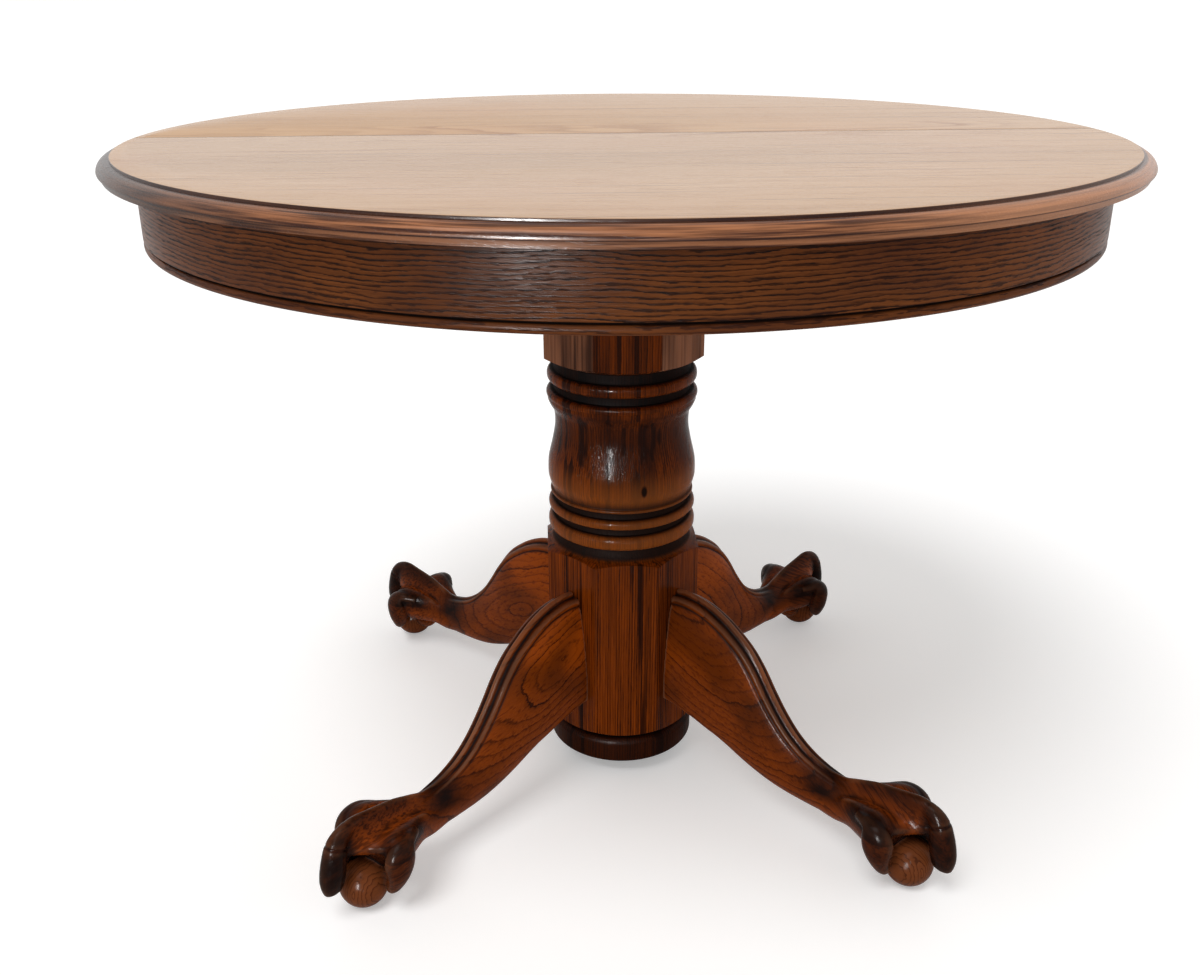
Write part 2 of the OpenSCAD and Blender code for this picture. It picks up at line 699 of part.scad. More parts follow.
module leg_nuts() {
    color("silver") for (a = leg_angles, i = [0, 1]) rotate([0, 0, a])
        translate([core_d / 2 - 12, 0, leg_bolt_low + i * leg_bolt_pitch]) rotate([0, 90, 0])
            difference() {
                cylinder(d = 1.85 * leg_bolt_d, h = 7, $fn = 6);
                translate([0, 0, -1]) cylinder(d = leg_bolt_d, h = 9, $fn = 32);
            }
}

module leg_dowel_pair(r) {
    for (i = [0, 1]) translate([flat_r - leg_dowel_out, 0, leg_bolt_low - 18 + i * (leg_bolt_pitch + 36)])
        rotate([0, 90, 0]) cylinder(r = r, h = 2 * leg_dowel_out, $fn = 24);
}

module leg_dowel_places(r) {
    for (a = leg_angles) rotate([0, 0, a]) leg_dowel_pair(r);
}

module leg_dowels() {
    color("burlywood") leg_dowel_places(leg_dowel_d / 2);
}

module column_bolt_places(r) {
    for (x = [-0.5, 0.5] * column_bolt_sq, y = [-0.5, 0.5] * column_bolt_sq)
        translate([x, y, platform_z - column_bolt_depth])
            cylinder(r = r, h = platform_t + column_bolt_depth, $fn = 32);
    for (x = [-0.5, 0.5] * column_bolt_sq, y = [-0.5, 0.5] * column_bolt_sq)
        translate([x, y, platform_top - r]) cylinder(r1 = r, r2 = 2 * r, h = r, $fn = 32);
}

module column_bolts() {
    color("silver") column_bolt_places(column_bolt_d / 2);
}

rail_bolt_d = 8;
module rail_bolt_places(r) {
    for (s = [-1, 1], y = [-0.35, 0.35] * platform_w)
        translate([s * rail_x, y, platform_z]) cylinder(r = r, h = platform_t + 0.7 * rail_h, $fn = 32);
}

module rail_bolts() {
    color("silver") {
        rail_bolt_places(rail_bolt_d / 2);
        for (s = [-1, 1], y = [-0.35, 0.35] * platform_w)
            translate([s * rail_x, y, platform_z - 4]) cylinder(r = rail_bolt_d, h = 4, $fn = 32);
    }
}

module top_screws(half_side) {
    color("dimgray") {
        screw_places(half_side, screw_d / 2);
        rack_screw_places(half_side, screw_d / 2);
    }
}

half_top(-1);  // top_front
half_top(1);  // top_back
half_apron(-1);  // apron_front
half_apron(1);  // apron_back
half_blocks(-1);  // apron_blocks_front
half_blocks(1);  // apron_blocks_back
seam_pins();
moving_rail(-1, -1);  // front_rail_left
moving_rail(-1, 1);  // front_rail_right
moving_rail(1, -1);  // back_rail_left
moving_rail(1, 1);  // back_rail_right
fixed_rail(-1);  // fixed_rail_left
fixed_rail(1);  // fixed_rail_right
platform();
rack(-1);  // rack_front
rack(1);  // rack_back
rack_cleats(-1);  // rack_cleats_front
rack_cleats(1);  // rack_cleats_back
pinion();
pinion_axle();
pinion_washer();
axle_collar();
lock_plates();
lock_lever(-1);  // lock_lever_left
lock_lever(1);  // lock_lever_right
lock_keepers();
column();
claw_leg(225);  // leg_front_left
claw_leg(315);  // leg_front_right
claw_leg(135);  // leg_back_left
claw_leg(45);  // leg_back_right
leg_bolts();
leg_washers();
leg_nuts();
leg_dowels();
column_bolts();
rail_bolts();
top_screws(-1);  // top_screws_front
top_screws(1);  // top_screws_back
block_screws(-1);  // block_screws_front
block_screws(1);  // block_screws_back
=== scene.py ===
# Round pedestal extension table in oak: two moulded half tops with bent aprons, a turned octagonal
# column and four carved legs with ball and claw feet, set round the slides and their gear.
import math

import bmesh
import bpy
import numpy as np
from mathutils import Matrix, Vector


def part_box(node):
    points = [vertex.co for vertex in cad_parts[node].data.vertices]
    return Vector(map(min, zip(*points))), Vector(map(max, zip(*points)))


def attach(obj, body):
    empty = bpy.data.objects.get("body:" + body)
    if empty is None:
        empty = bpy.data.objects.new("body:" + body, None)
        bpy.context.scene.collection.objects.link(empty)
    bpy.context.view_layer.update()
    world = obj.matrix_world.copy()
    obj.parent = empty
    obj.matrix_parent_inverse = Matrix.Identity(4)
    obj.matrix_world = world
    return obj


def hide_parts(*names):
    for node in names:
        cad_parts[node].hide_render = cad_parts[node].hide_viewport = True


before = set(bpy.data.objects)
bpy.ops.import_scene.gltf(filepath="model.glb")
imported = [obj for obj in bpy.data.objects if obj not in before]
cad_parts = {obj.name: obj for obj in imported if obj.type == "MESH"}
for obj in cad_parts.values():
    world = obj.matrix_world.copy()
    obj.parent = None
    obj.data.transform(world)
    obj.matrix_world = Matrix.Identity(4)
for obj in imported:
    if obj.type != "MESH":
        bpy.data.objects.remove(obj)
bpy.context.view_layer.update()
scene = bpy.context.scene

MM = 0.001

# ---------- measures in mm ----------

# From the solids
top_low, top_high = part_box("top_front")
TOP_Z = top_low.z / MM
TABLE_H = top_high.z / MM
TOP_R = top_high.x / MM
SEAM = -2 * top_high.y / MM
apron_low, apron_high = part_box("apron_front")
APRON_Z = apron_low.z / MM
APRON_R = apron_high.x / MM
column_low, column_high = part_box("column")
LIFT = column_low.z / MM
COLUMN_TOP = column_high.z / MM
FLAT_R = column_high.x / MM

# Edge of the top: inset of the flat, inset and height of the band under the round, width and
# height of the round, height of the step up to the flat
FLAT_IN, BAND_IN, BAND_H, ROUND_W, ROUND_H, STEP_H = 13, 4, 6, 12.9, 10.6, 2.3
# Bores for the pins of the seam: spacing, radius, depth, height above the underside
PIN_PITCH, BORE_R, BORE_DEPTH, BORE_UP = 210, 4.3, 14.3, 9.5
# Apron: thickness, radius of its bead, depth and height of the groove above the bead
APRON_T, BEAD_R, GROOVE_IN, GROOVE_H = 20, 4.25, 3, 2
RING_STEPS = 256

# Heights of the column, from the foot disc to the octagonal neck
DISC_Z = LIFT + 37
BLOCK_Z = DISC_Z + 235
LARGE_BEAD_Z = BLOCK_Z + 16
MIDDLE_BEAD_Z = LARGE_BEAD_Z + 26
SMALL_BEAD_Z = MIDDLE_BEAD_Z + 20
VASE_Z = SMALL_BEAD_Z + 6
CAP_Z = VASE_Z + 112
TOP_BEAD_Z = CAP_Z + 20
NECK_Z = TOP_BEAD_Z + 15
SHOULDER_Z = NECK_Z + 16

# Legs: distance of the ball from the column's axis, its radius and height
REACH = 418.0
BALL_R = 27.0
BALL_Z = BALL_R - 0.5
# Ends of the leg's upper and lower edges at the ankle, their heights there and at the column
ANKLE_U, ANKLE_LOW_U, ANKLE_TOP, ANKLE_UNDER = 328.0, 312.0, 91.0, 40.0
LEG_TOP, LEG_UNDER = 247.0, 106.0
# Thickness of the leg at the ankle and at the column
ANKLE_T, LEG_T = 38, 53

# ---------- bench: ways of working ----------


def clear_selection():
    bpy.ops.object.select_all(action="DESELECT")


def take(piece):
    clear_selection()
    piece.select_set(True)
    bpy.context.view_layer.objects.active = piece


def edit(piece, select="SELECT"):
    take(piece)
    bpy.ops.object.mode_set(mode="EDIT")
    bpy.ops.mesh.select_all(action=select)


def done():
    bpy.ops.object.mode_set(mode="OBJECT")


def settle(piece, name):
    """Names a piece and puts its place into its mesh."""
    take(piece)
    bpy.ops.object.transform_apply(location=True, rotation=True, scale=True)
    piece.name = name
    piece.data.name = name
    return piece


def hang(name, thing, place=(0, 0, 0)):
    holder = bpy.data.objects.new(name, thing)
    scene.collection.objects.link(holder)
    holder.location = place
    return holder


def outward(piece):
    edit(piece)
    bpy.ops.mesh.remove_doubles(threshold=0.002 * MM)
    bpy.ops.mesh.normals_make_consistent(inside=False)
    done()


def soften(piece, angle):
    take(piece)
    bpy.ops.object.shade_smooth_by_angle(angle=math.radians(angle), keep_sharp_edges=False)


def apply_modifier(piece, kind, **settings):
    take(piece)
    modifier = piece.modifiers.new(kind.title(), kind)
    for key, value in settings.items():
        setattr(modifier, key, value)
    bpy.ops.object.modifier_apply(modifier=modifier.name)


def blend(a, b, share):
    return a + (b - a) * share


def rising(value, low, high):
    """0 at low to 1 at high; it falls along the value when low is the larger."""
    return np.clip((value - low) / (high - low), 0, 1)


def bump_at(value, centre, width):
    return np.exp(-((value - centre) / width) ** 2)


def eased(points):
    """Profile of (radius, height, ease) points whose corners are rounded by their ease."""
    out = []
    for i, (r, z, ease) in enumerate(points):
        if not ease or i in (0, len(points) - 1):
            out.append((r, z))
            continue
        corner = Vector((r, z))
        back = Vector(points[i - 1][:2]) - corner
        ahead = Vector(points[i + 1][:2]) - corner
        reach = min(ease, 0.45 * back.length, 0.45 * ahead.length)
        start = corner + back.normalized() * reach
        end = corner + ahead.normalized() * reach
        for t in (0, 1 / 3, 2 / 3, 1):
            q = start * (1 - t) ** 2 + corner * 2 * t * (1 - t) + end * t * t
            out.append((q.x, q.y))
    return out


def arc(r, z, wide, high, start, end, steps):
    """Points of an elliptic arc about (r, z), angles in degrees."""
    angles = [math.radians(start + (end - start) * k / steps) for k in range(steps + 1)]
    return [(r + wide * math.cos(a), z + high * math.sin(a), 0) for a in angles]


def flowing(rows, steps):
    """Rows of numbers drawn into a smooth run, steps between each two."""
    rows = [np.array(r, float) for r in rows]
    out = []
    for i in range(len(rows) - 1):
        a, b = rows[max(i - 1, 0)], rows[i]
        c, d = rows[i + 1], rows[min(i + 2, len(rows) - 1)]
        for k in range(steps):
            t = k / steps
            out.append(0.5 * (2 * b + (c - a) * t + (2 * a - 5 * b + 4 * c - d) * t * t
                              + (3 * b - a - 3 * c + d) * t ** 3))
    return out + [rows[-1]]


def turned(name, profile, steps, ring=False):
    """Turned piece, drawn up circle by circle through (radius, height) points in mm.

    It starts from a disc, or as a ring from an open circle that is drawn back to its start."""
    clear_selection()
    r, z = profile[0]
    bpy.ops.mesh.primitive_circle_add(
        vertices=steps, radius=r * MM, fill_type="NOTHING" if ring else "NGON", location=(0, 0, z * MM)
    )
    piece = settle(bpy.context.object, name)
    edit(piece)
    for r_next, z_next in profile[1:] + (profile[:1] if ring else []):
        bpy.ops.mesh.extrude_region_move(TRANSFORM_OT_translate={"value": (0, 0, (z_next - z) * MM)})
        grow = r_next / r
        bpy.ops.transform.resize(value=(grow, grow, 1), center_override=(0, 0, z_next * MM))
        r, z = r_next, z_next
    done()
    outward(piece)
    return piece


def keep_half(piece, side):
    """Saws a ring or disc at the seam and keeps the half on that side."""
    edit(piece)
    bpy.ops.mesh.bisect(
        plane_co=(0, side * SEAM / 2 * MM, 0), plane_no=(0, -side, 0), use_fill=True, clear_outer=True
    )
    done()
    outward(piece)


def ease_edges(piece, chosen, width):
    """Bevels the edges that chosen() picks by their two ends, width in mm."""
    edit(piece, "DESELECT")
    bpy.ops.mesh.select_mode(type="EDGE")
    mesh = bmesh.from_edit_mesh(piece.data)
    for edge in mesh.edges:
        edge.select_set(chosen(edge.verts[0].co / MM, edge.verts[1].co / MM))
    bmesh.update_edit_mesh(piece.data)
    bpy.ops.mesh.bevel(offset=width * MM, segments=2, affect="EDGES", clamp_overlap=True)
    bpy.ops.mesh.select_mode(type="VERT")
    done()


def cut_with(piece, tool, operation="DIFFERENCE"):
    apply_modifier(piece, "BOOLEAN", object=tool, operation=operation, solver="EXACT")
    bpy.data.objects.remove(tool)


def rod(radius, depth, place, vertices, turn=(0, 0, 0)):
    """Cylinder or prism about its middle, for cutting."""
    clear_selection()
    bpy.ops.mesh.primitive_cylinder_add(
        vertices=vertices, radius=radius * MM, depth=depth * MM,
        location=[c * MM for c in place], rotation=turn,
    )
    return bpy.context.object


def drawn(name, rings):
    """Closed skin drawn out ring by ring; each ring lists its points in mm in the same order."""
    clear_selection()
    bpy.ops.mesh.primitive_circle_add(vertices=len(rings[0]), radius=0.01, fill_type="NGON")
    piece = bpy.context.object
    piece.name = name
    edit(piece)
    mesh = bmesh.from_edit_mesh(piece.data)
    for vert, point in zip(mesh.verts, rings[0]):
        vert.co = Vector(point) * MM
    for last, ring in zip(rings, rings[1:]):
        bpy.ops.mesh.extrude_region_move()
        mesh = bmesh.from_edit_mesh(piece.data)
        last = np.array(last, float) * MM
        for vert in [v for v in mesh.verts if v.select]:
            match = int(np.argmin(((last - np.array(vert.co)) ** 2).sum(1)))
            vert.co = Vector(ring[match]) * MM
    bmesh.update_edit_mesh(piece.data)
    done()
    outward(piece)
    return piece


def joined(parts, name):
    clear_selection()
    for part in parts:
        part.select_set(True)
    bpy.context.view_layer.objects.active = parts[0]
    bpy.ops.object.join()
    return settle(bpy.context.object, name)


def point_values(piece, what):
    out = np.empty(len(piece.data.vertices) * 3)
    piece.data.vertices.foreach_get(what, out)
    return out.reshape(-1, 3)


def spots(piece):
    """The points of a mesh as an array, in mm."""
    return point_values(piece, "co") / MM


def place_spots(piece, co):
    piece.data.vertices.foreach_set("co", (co * MM).ravel())
    piece.data.update()


def normals(piece):
    return point_values(piece, "normal")


def relaxed(co, ends, rounds):
    """Points after rounds of averaging with their neighbours."""
    count = np.bincount(ends.ravel(), minlength=len(co)).astype(float)[:, None]
    for _ in range(rounds):
        total = np.stack([
            np.bincount(ends[:, 0], co[ends[:, 1], k], len(co))
            + np.bincount(ends[:, 1], co[ends[:, 0], k], len(co))
            for k in range(co.shape[1])
        ], 1)
        co = 0.5 * co + 0.5 * total / np.maximum(count, 1)
    return co


def note(piece, name, values):
    """Stores one number for each point of a mesh, for its finish."""
    layer = piece.data.attributes.new(name, "FLOAT", "POINT")
    layer.data.foreach_set("value", values.astype(np.float32))


def note_hollows(piece, rounds=24, reach=1.2):
    """Stores how deep each point lies in a hollow, 0 on ridges to 1 in creases."""
    co = spots(piece)
    ends = np.empty(len(piece.data.edges) * 2, dtype=np.int64)
    piece.data.edges.foreach_get("vertices", ends)
    ends = ends.reshape(-1, 2)
    depth = ((relaxed(co, ends, rounds) - co) * normals(piece)).sum(1)
    depth = relaxed(depth[:, None], ends, 2)[:, 0]
    note(piece, "hollow", np.clip(0.5 + 0.5 * depth / reach, 0, 1))


# ---------- finishes ----------


def tone(r, g, b):
    """Colour of a finish from its everyday 0-255 values."""
    def channel(c):
        c /= 255
        return c / 12.92 if c <= 0.04045 else ((c + 0.055) / 1.055) ** 2.4
    return (channel(r), channel(g), channel(b), 1)


class Nodes:
    """A node tree and short ways to add to it."""

    def __init__(self, tree):
        self.tree = tree
        tree.nodes.clear()

    def add(self, kind, values=None, **settings):
        node = self.tree.nodes.new(kind)
        for key, value in settings.items():
            setattr(node, key, value)
        for key, value in (values or {}).items():
            self.put(node.inputs[key], value)
        return node

    def put(self, socket, value):
        if isinstance(value, bpy.types.NodeSocket):
            self.tree.links.new(value, socket)
        elif value is not None:
            socket.default_value = value

    def math(self, operation, a, b=None, clamp=False):
        node = self.add("ShaderNodeMath", {0: a, 1: b}, operation=operation, use_clamp=clamp)
        return node.outputs[0]

    def plus(self, a, b, clamp=False):
        return self.math("ADD", a, b, clamp)

    def minus(self, a, b):
        return self.math("SUBTRACT", a, b)

    def times(self, a, b):
        return self.math("MULTIPLY", a, b)

    def over(self, a, b):
        return self.math("DIVIDE", a, b)

    def vector(self, operation, a, b=None):
        node = self.add("ShaderNodeVectorMath", {0: a, 1: b}, operation=operation)
        return node.outputs["Value" if operation == "LENGTH" else "Vector"]

    def split(self, vector):
        return self.add("ShaderNodeSeparateXYZ", {0: vector}).outputs

    def join(self, x, y, z):
        return self.add("ShaderNodeCombineXYZ", {0: x, 1: y, 2: z}).outputs[0]

    def oval(self, x, z, place, size):
        """Distance from the middle of an upright oval, 1 at its edge; place and size in mm."""
        away = [self.over(self.minus(c, p * MM), s * MM) for c, p, s in zip((x, z), place, size)]
        return self.vector("LENGTH", self.join(*away, 0.0))

    def turn(self, vector, rotation):
        return self.add("ShaderNodeMapping", {"Vector": vector, "Rotation": rotation}).outputs[0]

    def mix(self, factor, a, b, blend_type="MIX"):
        node = self.add("ShaderNodeMix", {0: factor, 6: a, 7: b}, data_type="RGBA", blend_type=blend_type)
        return node.outputs[2]

    def stain(self, colour, where, strength, tint):
        """Colour drawn towards a tint, by the strength where `where` is 1."""
        return self.mix(self.times(where, strength), colour, tint)

    def shade(self, colour, amount):
        """Colour made lighter or darker by a factor."""
        return self.mix(1.0, colour, self.join(amount, amount, amount), "MULTIPLY")

    def noise(self, vector, scale, detail=2.0, roughness=0.5, colour=False):
        values = {"Vector": vector, "Scale": scale, "Detail": detail, "Roughness": roughness}
        return self.add("ShaderNodeTexNoise", values).outputs["Color" if colour else "Fac"]

    def grains(self, vector, along, across, detail=2.0, roughness=0.5, colour=False):
        """Noise drawn out along the grain: features per metre along and across it."""
        stretched = self.vector("MULTIPLY", vector, (along, across, across))
        return self.noise(stretched, 1.0, detail, roughness, colour)

    def ramp(self, factor, stops):
        """Grey value through (position, value) stops."""
        node = self.add("ShaderNodeValToRGB", {0: factor})
        elements = node.color_ramp.elements
        while len(elements) < len(stops):
            elements.new(0.5)
        for element, (position, value) in zip(elements, stops):
            element.position = position
            element.color = (value, value, value, 1)
        return node.outputs[0]

    def between(self, value, low, high):
        """0 below low to 1 above high."""
        node = self.add(
            "ShaderNodeMapRange", {0: value, 1: low, 2: high}, clamp=True, interpolation_type="SMOOTHSTEP"
        )
        return node.outputs[0]

    def past(self, value, low, high):
        """0 below low to 1 above high for a length, both in mm."""
        return self.between(value, low * MM, high * MM)

    def before(self, value, low, high):
        """1 below low to 0 above high for a length, both in mm."""
        return self.minus(1.0, self.past(value, low, high))

    def chance(self, value):
        """One steady random number for each whole value."""
        return self.add("ShaderNodeTexWhiteNoise", {"W": value}, noise_dimensions="1D").outputs["Value"]

    def place(self):
        return self.add("ShaderNodeTexCoord").outputs["Object"]

    def stored(self, name):
        return self.add("ShaderNodeAttribute", attribute_name=name).outputs["Fac"]


class Finish(Nodes):
    """A material with its shader."""

    def __init__(self, name):
        self.material = bpy.data.materials.new(name)
        self.material.use_nodes = True
        super().__init__(self.material.node_tree)
        self.shader = self.add("ShaderNodeBsdfPrincipled")
        self.add("ShaderNodeOutputMaterial", {0: self.shader.outputs[0]})

    def set(self, **values):
        for name, value in values.items():
            self.put(self.shader.inputs[name.replace("_", " ")], value)

    def bumps(self, height, strength, distance):
        node = self.add("ShaderNodeBump", {"Strength": strength, "Distance": distance, "Height": height})
        self.put(self.shader.inputs["Normal"], node.outputs[0])


# Share of open wood across one year ring
SOFT_RING = [(0, 0.9), (0.05, 1.0), (0.2, 0.8), (0.5, 0.22), (0.85, 0.0), (1, 0.15)]
THIN_RING = [(0, 0.15), (0.05, 0.9), (0.13, 1.0), (0.22, 0.4), (0.45, 0.12), (1, 0.0)]
FINE_RING = [(0, 0.1), (0.06, 0.9), (0.22, 1.0), (0.38, 0.4), (0.6, 0.05), (1, 0.0)]
FIRM_RING = [(0, 0.2), (0.06, 1.0), (0.2, 0.95), (0.4, 0.35), (0.7, 0.06), (1, 0.0)]


def oak_on(f, grain, late, early, pore, ring, pith, sway, pore_size, pore_amount, streak,
           pore_share=(0.52, 0.66), ripple=0.5, ragged=0.0, shape=SOFT_RING, steady=0.35, seed=0.0):
    """Oak figure on a grain vector (along, across, deep) in metres.

    late, early, pore: colours of the dense wood, the open wood and the pores;
    ring: width of a year ring; pith: (across, deep) place of the log's heart;
    sway: (along, across) features per metre and reach of the wander of the rings;
    pore_size: (along, across) pores per metre; streak: contrast of the fibres;
    ripple, ragged: by how many rings fine and very fine noise moves a ring's edge;
    shape: share of open wood across a ring; steady: least strength of a ring."""
    along, across, reach = sway
    wander = f.vector("SUBTRACT", f.grains(grain, along, across, colour=True), (0.5, 0.5, 0.5))
    swayed = f.vector("ADD", grain, f.vector("MULTIPLY", wander, (0, 2 * reach, 2 * reach)))
    off = f.vector("MULTIPLY", f.vector("SUBTRACT", swayed, (0, *pith)), (0, 1, 1))
    rho = f.over(f.vector("LENGTH", off), ring)
    rho = f.plus(rho, f.times(f.minus(f.grains(grain, 22, 160), 0.5), ripple))
    if ragged:
        rho = f.plus(rho, f.times(f.minus(f.grains(grain, 60, 500, 2, 0.7), 0.5), ragged))
    luck = f.chance(f.plus(f.math("FLOOR", rho), seed))
    strength = f.plus(steady, f.times(f.math("POWER", luck, 1.6), 1.0 - steady))
    open_wood = f.times(f.ramp(f.math("FRACT", rho), shape), strength)
    fibre = f.grains(grain, 7, 620, 3, 0.6)
    colour = f.shade(f.mix(open_wood, late, early), f.plus(1 - streak, f.times(fibre, 2 * streak)))
    dashes = f.between(f.grains(grain, *pore_size, 2, 0.6), *pore_share)
    pores = f.times(f.times(dashes, f.plus(0.2, f.times(open_wood, 0.9), True)), pore_amount)
    return f.mix(pores, colour, pore), pores, open_wood


def veins(f, grain, along, across, share, shift=0.0):
    """Long thin lines in the wood, 0 to 1."""
    shifted = f.vector("ADD", grain, (shift, shift, shift))
    return f.between(f.grains(shifted, along, across), *share)


def varnish(f, colour, pores, roughness, specular, bump, fibre=None, dull=None):
    """Lacquer over wood: pores stay slightly open under it, and it is dull where dull is 1."""
    rough = f.plus(roughness, f.times(pores, 0.25), True)
    if dull is not None:
        rough = f.plus(rough, f.times(dull, 0.5), True)
    height = f.times(pores, -1.0)
    if fibre is not None:
        height = f.plus(height, f.times(fibre, 0.5))
    f.set(Base_Color=colour, Roughness=rough, Specular_IOR_Level=specular)
    f.bumps(height, bump, 0.4 * MM)
    return f.material


def oak_top():
    """Pale boards, a dark rim with painted shade at its left and painted light at its right, painted
    shade on the steps, and a dark seam.
    """
    f = Finish("oak_top_lacquer")
    x, y, z = f.split(f.place())
    board_width, first_joint = 0.118, 0.031
    board = f.math("FLOOR", f.over(f.plus(y, first_joint), board_width))
    luck = f.chance(f.plus(board, 7.3))
    grain = f.join(f.plus(x, f.times(luck, 3.0)), y, f.plus(z, f.times(luck, 0.35)))
    colour, pores, rings = oak_on(
        f, grain, late=tone(202, 160, 116), early=tone(174, 128, 86), pore=tone(112, 70, 44),
        ring=0.0042, pith=(0.02, 0.62), sway=(1.6, 5, 0.03), pore_size=(22, 1000),
        pore_amount=0.65, streak=0.16,
    )
    colour = f.shade(colour, f.plus(0.95, f.times(luck, 0.07)))
    colour = f.stain(colour, veins(f, grain, 2.2, 150, (0.62, 0.7)), 0.55, tone(112, 80, 60))
    cloud = f.between(f.noise(f.place(), 3.0), 0.45, 0.7)
    colour = f.stain(colour, cloud, 0.2, tone(190, 132, 90))
    radius = f.vector("LENGTH", f.join(x, y, 0.0))
    round_grain = f.join(f.times(f.math("ARCTAN2", y, x), TOP_R * MM), z, radius)
    streaks = f.between(f.grains(round_grain, 9, 320, 3, 0.6), 0.34, 0.66)
    rim = f.mix(streaks, tone(66, 32, 19), tone(172, 112, 74))
    rim = f.stain(rim, veins(f, round_grain, 8, 300, (0.56, 0.68)), 0.7, tone(44, 20, 12))
    # Painted shade on the left of the rim and painted light on its right
    rim = f.stain(rim, f.before(x, -500, -200), 0.9, tone(46, 31, 26))
    rim = f.stain(rim, f.past(x, 100, 300), 0.6, tone(196, 140, 104))
    edge = f.past(radius, TOP_R - FLAT_IN - 1, TOP_R - FLAT_IN - 0.2)
    colour = f.mix(edge, colour, rim)
    # Painted shade on the wall of the step up to the flat and under the ledge of the round; the seam is a
    # dark joint
    step = f.times(edge, f.past(z, TABLE_H - 3.2, TABLE_H - 2.4))
    round_z = TOP_Z + BAND_H
    lip = f.times(f.past(z, round_z - 1.5, round_z - 0.5), f.before(z, round_z + 0.4, round_z + 1.2))
    seam = f.before(f.math("ABSOLUTE", y), 0.9, 2.2)
    dark = f.math("MAXIMUM", f.math("MAXIMUM", step, lip), seam)
    colour = f.stain(colour, dark, 0.85, tone(46, 20, 13))
    return varnish(f, colour, pores, roughness=0.24, specular=0.17, bump=0.2, fibre=rings)


def oak_apron():
    """Wavy figure bent round the apron, with painted shade under the rim and in the groove above the
    bead.
    """
    f = Finish("oak_apron_lacquer")
    x, y, z = f.split(f.place())
    along = f.times(f.math("ARCTAN2", y, x), APRON_R * MM)
    grain = f.join(along, z, f.vector("LENGTH", f.join(x, y, 0.0)))
    colour, pores, rings = oak_on(
        f, grain, late=tone(118, 66, 31), early=tone(20, 8, 7), pore=tone(14, 6, 5), ring=0.0035,
        pith=(0.62, 0.44), sway=(7, 10, 0.007), pore_size=(40, 800), pore_share=(0.5, 0.6),
        pore_amount=0.8, streak=0.35, ripple=1.0, ragged=1.0, shape=FINE_RING, steady=0.75,
    )
    dusk = f.between(f.noise(f.join(along, f.times(z, 3.0), 0.0), 6.0), 0.4, 0.7)
    colour = f.stain(colour, dusk, 0.4, tone(52, 28, 24))
    # Painted shade on the top of the apron, under the rim
    colour = f.stain(colour, f.past(z, TOP_Z - 18, TOP_Z - 2), 0.6, tone(30, 16, 12))
    bead_top = APRON_Z + 2 * BEAD_R
    groove_top = bead_top + GROOVE_H
    colour = f.stain(colour, f.before(z, bead_top + 0.3, bead_top + 1.3), 0.3, tone(84, 42, 22))
    # Painted shade in the groove above the bead
    groove = f.past(z, bead_top - 0.9, bead_top + 0.1)
    groove = f.times(groove, f.before(z, groove_top - 0.1, groove_top + 0.5))
    colour = f.stain(colour, groove, 0.9, tone(16, 6, 4))
    return varnish(f, colour, pores, roughness=0.28, specular=0.04, bump=0.6, fibre=rings, dull=groove)


